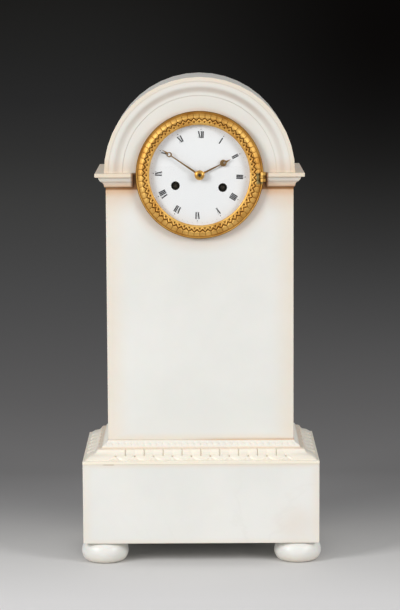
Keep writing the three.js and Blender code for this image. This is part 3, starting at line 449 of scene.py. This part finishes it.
def resampled(profile, step):
    """The profile with each straight piece cut evenly into steps, none longer than that length."""
    lengths = np.hypot(*np.diff(profile, axis=0).T)
    places = [np.linspace(0, 1, max(2, int(np.ceil(length / step)) + 1))[:-1] for length in lengths]
    pieces = [profile[i] + np.outer(t, profile[i + 1] - profile[i]) for i, t in enumerate(places)]
    return np.concatenate(pieces + [profile[-1:]])


def normals_of(profile):
    """The outward normal along an open profile: the direction of travel turned by a quarter."""
    travel = np.gradient(profile, axis=0)
    travel /= np.hypot(*travel.T)[:, None]
    return np.stack([-travel[:, 1], travel[:, 0]], -1)


def leaf_relief(s, v):
    """The carving in metres. s is the distance along the side from its middle, v runs up the leaf band from
    0 to 1, and t is 0 along the middle of a leaf and 0.5 in the gap beside it. A leaf is a dome across its
    width with a sunk midrib, narrowing to a rounded tip at the bottom. Between the tips the ground is cut
    back round a low dart. An eye is drilled where two leaves part."""
    t = (s / leaf_pitch + 0.5) % 1 - 0.5
    half = 0.5 * np.clip((v - 0.02) / 0.4, 0, 1) ** 0.5
    inside = 1 / (1 + np.exp(-(half - np.abs(t)) / 0.022))
    dome = 0.0010 * (1 - (np.abs(t) / 0.5) ** 2.2)
    from_gap = (np.abs(t) - 0.5) * leaf_pitch
    midrib = -0.0017 * np.exp(-(t * leaf_pitch / 0.00055) ** 2) * np.clip((v - 0.3) / 0.12, 0, 1)
    dart = 0.0004 * np.exp(-(from_gap / 0.0016) ** 2)
    eye = -0.0017 * np.exp(-((from_gap / 0.0008) ** 2 + ((v - 0.46) / 0.09) ** 2))
    return inside * (dome + midrib) + (1 - inside) * (dart - 0.0007) + eye


def carved(s, length, v):
    """The carving along one side. Near each mitre the row gives way to one broad plain leaf."""
    room_left = (length - np.abs(s)) / leaf_pitch
    plain = np.clip((plain_leaf - room_left) / 0.16, 0, 1)
    plain = plain * plain * (3 - 2 * plain)
    broad = 0.0008 * np.sin(pi * np.clip(room_left / plain_leaf, 0, 1)) ** 0.7
    return (1 - plain) * leaf_relief(s, v) + plain * broad


profile = resampled(run, 0.0006)
outward = normals_of(profile)
travelled = np.concatenate([[0], np.hypot(*np.diff(profile, axis=0).T).cumsum()])
leaf_low, leaf_high = np.interp(np.array(leaf_ends) * slab_step, profile[:, 0], travelled)
bead_low, bead_high = np.interp(np.array(bead_ends) * slab_step, profile[:, 0], travelled)
up_leaf = np.clip((travelled - leaf_low) / (leaf_high - leaf_low), 0, 1)
up_bead = np.clip((travelled - bead_low) / (bead_high - bead_low), 0, 1)
on_leaf = np.clip(np.minimum(travelled - leaf_low, leaf_high - travelled) / 0.0006, 0, 1)
on_bead = np.sin(pi * up_bead)
parts = []
depths = []
# Half the length of a side, its distance from the middle of the case, and its columns of points.
long_side = (outer_x, outer_y, 480)
short_side = (outer_y, outer_x, 330)
for turn, (reach_side, reach_front, columns) in enumerate([long_side, short_side] * 2):
    share = np.linspace(-1, 1, columns, endpoint=False)
    length = reach_side - profile[:, :1]
    s = share[None, :] * length
    relief = on_leaf[:, None] * carved(s, length, up_leaf[:, None])
    bead = (np.abs(np.sin(pi * s / (leaf_pitch / beads_in_a_leaf))) ** 0.7 - 0.6) * 0.0011
    relief = relief + on_bead[:, None] * bead * np.clip((length - np.abs(s)) / 0.004, 0, 1)
    near_mitre = np.clip((1 - np.abs(share)) / 0.006, 0, 1)[None, :]
    relief = relief * near_mitre
    depths.append(np.clip((-relief - 0.0004) / 0.001, 0, 1))
    flat = np.stack([s, profile[:, :1] - reach_front + 0 * s, plinth_top + profile[:, 1:] + 0 * s], -1)
    push = np.stack([0 * s, relief * outward[:, :1], relief * outward[:, 1:]], -1)
    local = flat + push
    cosine, sine = [(1, 0), (0, 1), (-1, 0), (0, -1)][turn]
    parts.append(np.stack([
        local[..., 0] * cosine - local[..., 1] * sine,
        local[..., 0] * sine + local[..., 1] * cosine,
        local[..., 2],
    ], -1))
moulding_points = np.concatenate(parts, axis=1).reshape(-1, 3)


def moulding_edge(x, y, z):
    """Cream all over, most on the bottom fillet and least on the bead row."""
    return 0.55 + 0.2 * z.rise(0.107, 0.103) - 0.25 * z.rise(0.114, 0.118)


def moulding_stain(x, y, z):
    """The joint under the shaft and the hollow over the leaves hold some brown."""
    joint = z.rise(0.1208, 0.1224) * (0.3 + 0.5 * x.rise(-0.02, 0.03))
    hollow = abs(z - 0.1152).rise(0.0016, 0.0)
    return joint + hollow * 0.35


hollow = np.concatenate(depths, axis=1)
moulding_faces = capped_faces(*hollow.shape)
moulding_marble = marble(
    "moulding_marble", moulding_edge, moulding_stain, hollows=True, cream=linear(251, 238, 214),
)
made(
    "carved_moulding", moulding_points, moulding_faces, moulding_marble, "case", "marble",
    ["base_moulding"], hollow=hollow,
)


# Shaft.
# Four marble slabs form the tall box of the case. The front and back ones are cut out for the dial.
# Peach stains and a dark brown line lie under the imposts, and a cream tone runs along the corners.
dial_low, dial_high = box_of("dial")
dial_z = (dial_low[2] + dial_high[2]) / 2
impost_bottom = box_of("impost_left")[0][2]


def from_dial(x, z):
    """The distance from the axis of the dial."""
    return (x**2.0 + (z - dial_z) ** 2.0) ** 0.5


def shaft_edge(x, y, z):
    """Strongest at the upright corners, fading over about 25 mm, and just above the base moulding."""
    upright = (abs(x) - shaft_x + abs(y) - shaft_y).rise(-0.026, 0.002)
    return upright.most(z.rise(0.131, 0.1225)) * 0.6


def shaft_stain_and_reflection(x, y, z):
    """A peach bloom under each impost, a weaker peach ring round the bezel that is a painted warm
    reflection of the gilding, and a trace at the foot.
    """
    bloom = (z.rise(0.346, 0.376) * 0.45 + z.rise(0.366, 0.376) * 0.4) * abs(x).rise(0.05, 0.07)
    # The ring round the bezel is painted light: the gilding's warm reflection on the marble.
    painted_gilt_reflection = from_dial(x, z).rise(0.082, 0.064) * y.rise(-0.05, -0.056) * 0.3
    return bloom.most(painted_gilt_reflection) + z.rise(0.1255, 0.1225) * 0.3 * x.rise(-0.03, 0.03)


def shaft_line_under_impost(x, y, z):
    """A dark brown line just under each impost."""
    return z.rise(impost_bottom - 0.0036, impost_bottom - 0.0016)


dress("shaft", marble("shaft_marble", shaft_edge, shaft_stain_and_reflection, shaft_line_under_impost), 0.0004, 1)


# Imposts.
# A marble moulding on each side of the case, carried round from front to back. The arch stands on it.
# It is planted on the shaft, and stops short of the bezel.
def impost_edge(x, y, z):
    """1 on the broad fillet, and 0.4 below it."""
    return z.rise(0.3865, 0.388) * 0.6 + 0.4


def impost_stain_and_shade(x, y, z):
    """Brown towards the bottom of the moulding: stain, and painted shade where the moulding faces down
    under its fillet.
    """
    return z.rise(0.3865, 0.378) * 0.75


def impost_end_shadow_and_line(x, y, z):
    """Dark brown on the cut end beside the bezel, which is painted shadow in the gap there, and along the
    bottom edge.
    """
    return abs(x).rise(0.0695, 0.0668).most(z.rise(impost_bottom + 0.0017, impost_bottom) * 0.8)


impost_marble = marble("impost_marble", impost_edge, impost_stain_and_shade, impost_end_shadow_and_line)
for side in ("left", "right"):
    dress(f"impost_{side}", impost_marble, 0.0005, 2)


# Arch.
# A half round of marble with a moulded archivolt in front and behind, hollow for the bell and the movement.
# It stands on the imposts, and its own weight holds it.
arch_low, arch_high = box_of("arch")
arch_face = arch_high[1]


def from_arch_centre(x, z):
    """The distance from the axis of the half round."""
    return (x**2.0 + (z - arch_low[2]) ** 2.0) ** 0.5


def arch_edge(x, y, z):
    """Strongest on the outer fillet of the archivolt, fading inwards, and faint everywhere else."""
    at_face = (abs(y) - arch_face).rise(-0.006, 0.0)
    return from_arch_centre(x, z).rise(0.088, 0.0935) * at_face * 0.6 + 0.2


def arch_stain_and_reflection(x, y, z):
    """A peach bloom above each impost, and beside the bezel a peach ring that is a painted warm reflection
    of the gilding.
    """
    low = z.rise(0.41, 0.392) * abs(x).rise(0.056, 0.075)
    # beside is painted light: the gilding's warm reflection on the marble round the bezel.
    beside = from_dial(x, z).rise(0.068, 0.064) * y.rise(-0.05, -0.056)
    return (low * 0.35).most(beside * 0.3)


def arch_painted_shade(x, y, z):
    """Painted grey brown shade in the hollow of the archivolt, strongest at the top where the hollow faces
    down, and in the two quirks that were cut beside it.
    """
    out = from_arch_centre(x, z)
    hollow = abs(out - 0.0825).rise(0.0042, 0.0006) * (0.17 + 0.2 * z.rise(0.42, 0.47))
    inner_quirk = abs(out - 0.0763).rise(0.0007, 0.0002) * 0.12
    outer_quirk = abs(out - 0.0905).rise(0.0007, 0.0002) * 0.14
    return (hollow + inner_quirk + outer_quirk) * (abs(y) - arch_face).rise(-0.012, -0.01)


dress("arch", marble("arch_marble", arch_edge, arch_stain_and_reflection, arch_painted_shade), 0.0004, 2)


# Gilt furniture round the dial.
# The bezel is cast bronze, mercury gilt, and chased with pointed leaves and a zigzag rib inside them.
# It turns on a small hinge at three o'clock, and the dial ring behind it is screwed into the case.
def gilding(name, burnish=0.48, hollows=False):
    """Mercury gilding: warm gold with a redder, duller tone in patches. Where hollows is true it is brown
    where the hollow attribute is set, which is patina in the hollows of the chasing and painted shadow
    round the outer rim, and olive beside the hinge, a painted reflection of the impost's cut end."""
    gold = Finish(name, Metallic=1.0)
    patch = gold.noise(60.0, 4.0, 0.6).rise(0.35, 0.75)
    tone = patch.blend(linear(240, 196, 112), linear(210, 156, 76))
    if hollows:
        depth = gold.node("ShaderNodeAttribute", {"attribute_name": "hollow"}, {}, "Fac")
        tone = depth.blend(tone, linear(112, 78, 26))
        x, _, z = gold.axes()
        # A painted reflection: olive where the gilding beside the hinge mirrors the impost's cut end.
        impost_reflection = x.rise(0.0555, 0.0575) * abs(z - 0.3865).rise(0.0065, 0.0045)
        tone = impost_reflection.blend(tone, linear(150, 136, 92))
    gold.set("Base Color", tone)
    gold.set("Roughness", burnish + 0.16 * gold.noise(210.0, 3.0))
    gold.relief(gold.noise(700.0, 2.0), 0.00004)
    return gold.material


# Each row of the section is a radius and a place forward of the middle of the case, in millimetres.
bezel_section = np.array([
    [51.8, 58.6], [63.5, 58.6], [63.5, 62.3], [63.2, 62.7], [62.7, 62.6], [61.7, 62.0], [60.6, 63.4],
    [59.0, 64.7], [57.3, 65.3], [55.6, 65.2], [54.0, 64.6], [52.9, 64.2], [51.6, 64.3], [50.5, 63.9],
    [50, 63.3], [50, 62.8], [51.8, 62.8],
]) / 1000
leaves = 64
leaf_root = 0.0608
rib_peak = 0.0527
rib_swing = 0.0024
pit_radius = 0.0529
leaf_width = 0.91


def bezel_relief(angle, r):
    """The chasing in metres, on a pitch of one leaf. across is 0 along the middle of a leaf and 1 between
    two leaves. A raised zigzag rib runs round the pointed leaf heads. The ground is cut deep between rib
    and heads, and a round pit is punched in each inner corner of the rib."""
    across = 2 * np.abs((angle * leaves / (2 * pi)) % 1 - 0.5)
    beyond = r - (rib_peak + rib_swing * across)
    rib = 0.0004 * np.exp(-((beyond / 0.0005) ** 2))
    trench = -0.001 * np.exp(-(((beyond - 0.00165) / (0.00085 - 0.0004 * across)) ** 2))
    aside = (1 - across) * pi * 0.053 / leaves
    pit = -0.0012 * np.exp(-(aside**2 + (r - pit_radius) ** 2) / 0.0007**2)
    bulge = 0.00022 * np.sqrt(np.clip(1 - (across / leaf_width) ** 2, 0, 1))
    dome = np.where(across < leaf_width, bulge, -0.0004)
    leaf = dome * np.clip((beyond - 0.0022) / 0.0003, 0, 1)
    return np.where(r < leaf_root, rib + trench + pit + leaf, 0)


around = leaves * 24
angles = np.linspace(0, 2 * pi, around, endpoint=False)
chased_part = resampled(bezel_section[1:15], 0.00028)[1:]
section = np.concatenate([bezel_section[:2], chased_part, bezel_section[15:]])
carved_rows = (section[:, 1:] > 0.062) & (section[:, :1] > 0.0522) & (section[:, :1] < 0.0614)
relief = bezel_relief(angles[None, :], section[:, :1]) * carved_rows
bezel_points = np.stack([
    section[:, :1] * np.sin(angles),
    -(section[:, 1:] + relief),
    dial_z + section[:, :1] * np.cos(angles),
], -1).reshape(-1, 3)
# The outer rows of the rim are painted brown through the hollow attribute: painted shadow in the crevice
# round the bezel.
rim_painted_shadow = 0.3 * (section[:, :1] > 0.0612) + 0.5 * (section[:, :1] > 0.0629)
made(
    "chased_bezel", bezel_points, tube_faces(len(section), around)[:, ::-1].tolist(),
    gilding("bezel_gilding", hollows=True), "bezel", "gilt", ["bezel"],
    hollow=np.maximum(np.clip(-relief / 0.001, 0, 0.85), rim_painted_shadow),
)

# The knuckle is a short tube round the hinge pin. Its tongue, a small block, joins it to the bezel.
plain_gilding = gilding("plain_gilding", 0.4)
pin_low, pin_high = box_of("bezel_hinge_pin")
pin_x = (pin_low[0] + pin_high[0]) / 2
pin_y = (pin_low[1] + pin_high[1]) / 2
pin_z = (pin_low[2] + pin_high[2]) / 2
knuckle_half = 0.0013
knuckle_bore = 0.0009
knuckle_radius = 0.0016
knuckle_round = 0.00015
knuckle = np.array([
    [knuckle_bore, -knuckle_half],
    [knuckle_radius - knuckle_round, -knuckle_half],
    [knuckle_radius, knuckle_round - knuckle_half],
    [knuckle_radius, knuckle_half - knuckle_round],
    [knuckle_radius - knuckle_round, knuckle_half],
    [knuckle_bore, knuckle_half],
])
around_pin = 40
knuckle_turns = np.linspace(0, 2 * pi, around_pin, endpoint=False)
knuckle_points = np.stack([
    pin_x + knuckle[:, :1] * np.cos(knuckle_turns),
    pin_y + knuckle[:, :1] * np.sin(knuckle_turns),
    pin_z + knuckle[:, 1:] + 0 * knuckle_turns,
], -1).reshape(-1, 3)
knuckle_faces = tube_faces(len(knuckle), around_pin).tolist()
tongue_outline = ((0.0602, -0.061), (0.0609, -0.061), (0.0609, -0.0662), (0.0602, -0.0662))
tongue_points = np.array([
    [x, y, pin_z + level] for level in (-knuckle_half, knuckle_half) for x, y in tongue_outline
])
tongue_faces = [[0, 1, 2, 3], [7, 6, 5, 4], [0, 4, 5, 1], [1, 5, 6, 2], [2, 6, 7, 3], [3, 7, 4, 0]]
knuckle_faces += [[len(knuckle_points) + i for i in face] for face in tongue_faces]
made(
    "bezel_knuckle", np.concatenate([knuckle_points, tongue_points]), knuckle_faces, plain_gilding,
    "bezel", "gilt",
)
dress("dial_ring", plain_gilding)
dress("bezel_hinge_pin", plain_gilding)


# Enamel dial.
# A copper disc with fired white enamel, its numerals and dots painted in black and fired again.
# Two holes with clean edges let the key on to the winding squares.
enamel = Finish("white_enamel", Roughness=0.12, Coat_Weight=0.6, Coat_Roughness=0.05)
enamel.shader.inputs["Specular IOR Level"].default_value = 0.5
enamel.set("Base Color", enamel.noise(30.0, 3.0).blend(linear(245, 247, 248), linear(249, 250, 250)))
enamel.relief(enamel.noise(120.0, 2.0), 0.00002)
dress("dial", enamel.material, 0.00015, 2)

# The print is turned a little clockwise, and lies a little to the left of the dial's middle and below it.
# These lengths are in millimetres, but for the enamel's front and the thickness of the paint, in metres.
dial_turn = radians(2.6)
dial_front = dial_low[1]
paint_depth = 0.00004
print_left = 0.4
print_down = 0.3
numeral_radius = 40.0
half_height = 3.3
thick = 1.2
thin = 0.22
serif = 0.14


def placed(shapes, hour_angle, radius):
    """Outlines in x and z, in millimetres, turned to an angle clockwise from twelve, at that radius."""
    a = radians(hour_angle) + dial_turn
    x = shapes[..., 0]
    z = shapes[..., 1] + radius
    across = x * np.cos(a) + z * np.sin(a) - print_left
    up = -x * np.sin(a) + z * np.cos(a) - print_down
    return np.stack([across, up], -1)


def bar_of(x0, x1, low, high, width):
    """A stroke from x0 at its foot to x1 at its head, with that width, as a four cornered outline."""
    return [[x0 - width / 2, low], [x0 + width / 2, low], [x1 + width / 2, high], [x1 - width / 2, high]]


def numeral(text):
    """A Roman numeral as strokes, with a thin line along its top and its bottom. I is a thick upright, V
    has a thick and a thin stroke, and X crosses them."""
    widths = {"I": 1.48, "V": 2.9, "X": 3.1}
    low, high = -half_height, half_height
    total = sum(widths[letter] for letter in text)
    strokes = []
    at = -total / 2
    for letter in text:
        middle = at + widths[letter] / 2
        if letter == "I":
            strokes.append(bar_of(middle, middle, low, high, thick))
        elif letter == "V":
            strokes.append(bar_of(middle + 0.1, middle - 0.95, low, high, thick))
            strokes.append(bar_of(middle + 0.1, middle + 1.1, low, high, thin))
        else:
            strokes.append(bar_of(middle + 1.0, middle - 1.0, low, high, thick))
            strokes.append(bar_of(middle - 1.1, middle + 1.1, low, high, thin))
        at += widths[letter]
    for level in (low, high):
        strokes.append(bar_of(0, 0, level - serif / 2, level + serif / 2, total - 0.3))
    return np.array(strokes)


def paint(name, outlines, material):
    """Thin closed prisms on the enamel, one for each outline. All outlines have equally many corners, and
    each may run either way round."""
    count, corners = outlines.shape[:2]
    flat = outlines.reshape(-1, 2) / 1000
    signed = np.cross(outlines, np.roll(outlines, -1, axis=1)).sum(axis=1)
    front = np.stack([flat[:, 0], np.full(len(flat), dial_front - paint_depth), dial_z + flat[:, 1]], -1)
    back = front + [0, paint_depth * 1.5, 0]
    base = np.arange(count)[:, None] * corners
    ring = base + np.arange(corners)[None, :]
    ahead = base + (np.arange(corners)[None, :] + 1) % corners
    shift = len(flat)
    sides = np.stack([ring, ring + shift, ahead + shift, ahead], -1).reshape(-1, 4)
    faces = [list(r) if area > 0 else list(r[::-1]) for r, area in zip(ring, signed)]
    faces += [list(r[::-1] + shift) if area > 0 else list(r + shift) for r, area in zip(ring, signed)]
    facing = np.repeat(signed > 0, corners)
    faces += [list(f) if way else list(f[::-1]) for f, way in zip(sides, facing)]
    made(name, np.concatenate([front, back]), faces, material, "case", "enamel", crease=20)


black = Finish("black_paint", Roughness=0.3)
black.set("Base Color", black.noise(300.0).blend(linear(22, 22, 25), linear(40, 40, 43)))
grey = Finish("grey_paint", Roughness=0.35)
grey.set("Base Color", grey.noise(300.0).blend(linear(120, 122, 128), linear(150, 152, 158)))

names = ["XII", "I", "II", "III", "IIII", "V", "VI", "VII", "VIII", "IX", "X", "XI"]
numerals = [placed(numeral(name), 30 * hour, numeral_radius) for hour, name in enumerate(names)]
paint("hour_numerals", np.concatenate(numerals), black.material)


def dots(angles, radius, size, corners=10):
    """Small round dots: regular outlines with that many corners, one at each angle."""
    turn = np.linspace(0, 2 * pi, corners, endpoint=False)
    disc = size * np.stack([np.sin(turn), np.cos(turn)], -1)
    return np.stack([placed(disc, angle, radius) for angle in angles])


minutes = [6 * step for step in range(60)]
minute_ring = 47.2
minute_dot = 0.22
five_minute_ring = 45.3
five_minute_dot = 0.5
paint("minute_dots", dots(minutes, minute_ring, minute_dot), grey.material)
paint("five_minute_dots", dots(minutes[::5], five_minute_ring, five_minute_dot), black.material)


# Hands and winding squares.
# Gilt brass moon hands, pierced and polished, held by a domed collet. The squares are dark steel.
# The hour hand sits on a pipe that turns round the minute hand's.
hand_gilding = gilding("hand_gilding", 0.3)
hand_brass = Finish("hand_brass", Metallic=1.0)
hand_tone = hand_brass.noise(80.0, 3.0).rise(0.3, 0.7)
hand_brass.set("Base Color", hand_tone.blend(linear(196, 152, 88), linear(160, 122, 70)))
hand_brass.set("Roughness", 0.28 + 0.12 * hand_brass.noise(300.0, 2.0))
for hand in ("minute_hand", "hour_hand"):
    dress(hand, hand_brass.material, 0.00018, 2)


def turned_level(profile, centre_x, centre_z, around=64):
    """Points and faces of a turned piece whose axis runs from front to back. Each row of the profile is a
    radius and a place forward of the middle of the case, from the back to the front."""
    turn = np.linspace(0, 2 * pi, around, endpoint=False)
    rings = np.stack([
        centre_x + profile[:, :1] * np.sin(turn),
        -profile[:, 1:] + 0 * turn,
        centre_z + profile[:, :1] * np.cos(turn),
    ], -1)
    return rings.reshape(-1, 3), [face[::-1] for face in capped_faces(len(profile), around)]


# Both profiles are in millimetres. The collet is a quarter round over a thin foot, hollow at its top.
bow = np.linspace(0, 0.5 * pi, 12)
collet_profile = np.concatenate([
    [[4.7, 61.75], [4.9, 61.95], [4.9, 62.3]],
    np.stack([2.0 + 2.7 * np.cos(bow), 62.4 + 2.1 * np.sin(bow)], -1),
    [[1.75, 64.4], [1.55, 63.7], [0.1, 63.7]],
]) / 1000
collet_points, collet_faces = turned_level(collet_profile, 0.0, dial_z)
made("turned_collet", collet_points, collet_faces, hand_gilding, "minute_hand", "gilt", ["hand_collet"])
dark_steel = Finish("dark_steel", Metallic=1.0)
dark_steel.set("Base Color", dark_steel.noise(200.0, 3.0).blend(linear(66, 60, 54), linear(92, 84, 74)))
dark_steel.set("Roughness", 0.35 + 0.1 * dark_steel.noise(300.0, 2.0))
arbor_profile = np.array([[1.4, 63.2], [1.4, 64.3], [1.2, 64.55], [0.5, 64.7]]) / 1000
arbor_points, arbor_faces = turned_level(arbor_profile, 0.0, dial_z, 32)
made("arbor_end", arbor_points, arbor_faces, dark_steel.material, "minute_hand", "steel")
for name in ("going_winding_arbor", "strike_winding_arbor"):
    dress(name, dark_steel.material)

# A crescent fills most of the hole in the hour hand's moon. The hole that is left lies towards the tip.
hour_angle = radians(61) + dial_turn
moon_at = 0.02661
moon_hole = 0.0021
small_hole = 0.001
small_hole_at = moon_at + 0.00075
crescent_back = 0.0593
crescent_front = 0.05972
around_moon = 48
sweep = np.linspace(0, 2 * pi, around_moon, endpoint=False)
crescent_rings = [
    np.stack([
        middle * np.sin(hour_angle) + ring_radius * np.sin(sweep),
        -forward + 0 * sweep,
        dial_z + middle * np.cos(hour_angle) + ring_radius * np.cos(sweep),
    ], -1)
    for ring_radius, middle, forward in (
        (moon_hole, moon_at, crescent_back), (moon_hole, moon_at, crescent_front),
        (small_hole, small_hole_at, crescent_front), (small_hole, small_hole_at, crescent_back),
    )
]
crescent_faces = tube_faces(len(crescent_rings), around_moon)[:, ::-1].tolist()
made(
    "hour_moon_crescent", np.concatenate(crescent_rings), crescent_faces, hand_brass.material,
    "hour_hand", "gilt",
)


# Domed glass.
# A watchmaker's crystal, ground to the bezel and sprung into its rebate.
# Its crown rises five and a half millimetres over its edge.
glass = Finish("crystal", Roughness=0.02, IOR=1.45, Transmission_Weight=1.0)
glass.set("Base Color", glass.noise(20.0).blend(linear(250, 252, 252), linear(255, 255, 255)))
path = glass.tree.nodes.new("ShaderNodeLightPath")
shadow = Term(glass.tree, path.outputs["Is Shadow Ray"])
diffuse = Term(glass.tree, path.outputs["Is Diffuse Ray"])
glossy = Term(glass.tree, path.outputs["Is Glossy Ray"])
unseen = shadow.most(diffuse).most(glossy) * 0.96
clear = glass.node("ShaderNodeBsdfTransparent", {}, {})
solid_glass = Term(glass.tree, glass.shader.outputs["BSDF"])
lit = glass.node("ShaderNodeMixShader", {}, {0: unseen, 1: solid_glass, 2: clear})
glass.tree.links.new(lit.socket, glass.tree.nodes["Material Output"].inputs["Surface"])
crown_height = 0.0055
glass_radius = 0.0515
glass_face = 0.0625
glass_wall = 0.0012
# Its outer and inner sheets are rings of points from the edge to the crown, and a last point on the axis.
levels = 39
count = 128
share = np.linspace(1, 0, levels + 1)[:-1]
crown = glass_face + crown_height * (1 - share**2)
glass_turns = np.linspace(0, 2 * pi, count, endpoint=False)
sheets = [
    np.stack([
        glass_radius * share[:, None] * np.sin(glass_turns),
        inset - crown[:, None] + 0 * glass_turns,
        dial_z + glass_radius * share[:, None] * np.cos(glass_turns),
    ], -1).reshape(-1, 3)
    for inset in (0, glass_wall)
]
apex = [[0, inset - glass_face - crown_height, dial_z] for inset in (0, glass_wall)]
spot = np.arange(count)
ahead = (spot + 1) % count
top_ring = (levels - 1) * count
inner_start = levels * count
outer_apex = 2 * inner_start
inner_apex = outer_apex + 1
inner_top = inner_start + top_ring
outer_faces = band_faces(levels, count)[:, ::-1].tolist()
outer_faces += [[outer_apex, top_ring + j, top_ring + i] for i, j in zip(spot, ahead)]
inner_faces = (band_faces(levels, count) + inner_start).tolist()
inner_faces += [[inner_top + i, inner_top + j, inner_apex] for i, j in zip(spot, ahead)]
edge_faces = [[i, j, inner_start + j, inner_start + i] for i, j in zip(spot, ahead)]
made(
    "domed_glass", np.concatenate(sheets + [apex]), outer_faces + inner_faces + edge_faces,
    glass.material, "bezel", "glass", ["bezel_glass"],
)


# Rear door.
# A spun brass ring with a flat glass, hung like the bezel, and a turn button that keeps it shut.
# Two straps with steel screws draw the movement back against the dial ring.
def worked_brass(name, dull=0.3):
    """Lacquered brass: yellow metal with fine turning marks and a slightly brown bloom."""
    metal = Finish(name, Metallic=1.0)
    bloom = metal.noise(45.0, 4.0, 0.6).rise(0.4, 0.8)
    metal.set("Base Color", bloom.blend(linear(222, 190, 120), linear(190, 150, 84)))
    metal.set("Roughness", dull + 0.15 * metal.noise(300.0, 2.0))
    metal.relief(metal.noise(900.0, 2.0), 0.00003)
    return metal.material


def worked_steel(name, dull=0.25):
    """Polished steel, grey with a faint blue, and fine random scratches."""
    metal = Finish(name, Metallic=1.0)
    metal.set("Base Color", metal.noise(50.0, 3.0).blend(linear(150, 153, 158), linear(182, 184, 188)))
    metal.set("Roughness", dull + 0.15 * metal.noise(400.0, 2.0))
    metal.relief(metal.noise(900.0, 2.0), 0.00002)
    return metal.material


door_brass = worked_brass("door_brass")
for name in ("rear_ring", "rear_hinge_pin", "rear_door", "door_button", "strap_left", "strap_right"):
    dress(name, door_brass)
dress("rear_glass", glass.material)
screw_steel = worked_steel("screw_steel")
for name in ("strap_screw_left", "strap_screw_right"):
    dress(name, screw_steel)


# Movement.
# Brass plates held apart by four pillars carry a going and a striking train, each with its own mainspring.
# Wheels are brass and grained, pinions and arbors are steel, the bell is cast bell metal.
wheel_brass = worked_brass("wheel_brass", 0.26)
plate_brass = worked_brass("plate_brass", 0.34)
arbor_steel = worked_steel("arbor_steel")
for name in ("front_plate", "back_plate", "back_cock"):
    dress(name, plate_brass)
for name in (
    "going_barrel", "strike_barrel", "intermediate_wheel", "centre_wheel", "third_wheel", "escape_wheel",
    "strike_second_wheel", "count_wheel", "pin_wheel", "locking_wheel", "fly", "hour_wheel", "minute_wheel",
    "pendulum_rod", "pendulum_bob", "rating_nut", "bell",
):
    dress(name, wheel_brass)
for name in (
    "cannon_pinion", "going_mainspring", "going_click", "strike_mainspring", "strike_click", "anchor",
    "suspension_spring", "hammer", "bell_stand", "bell_nut",
):
    dress(name, arbor_steel)
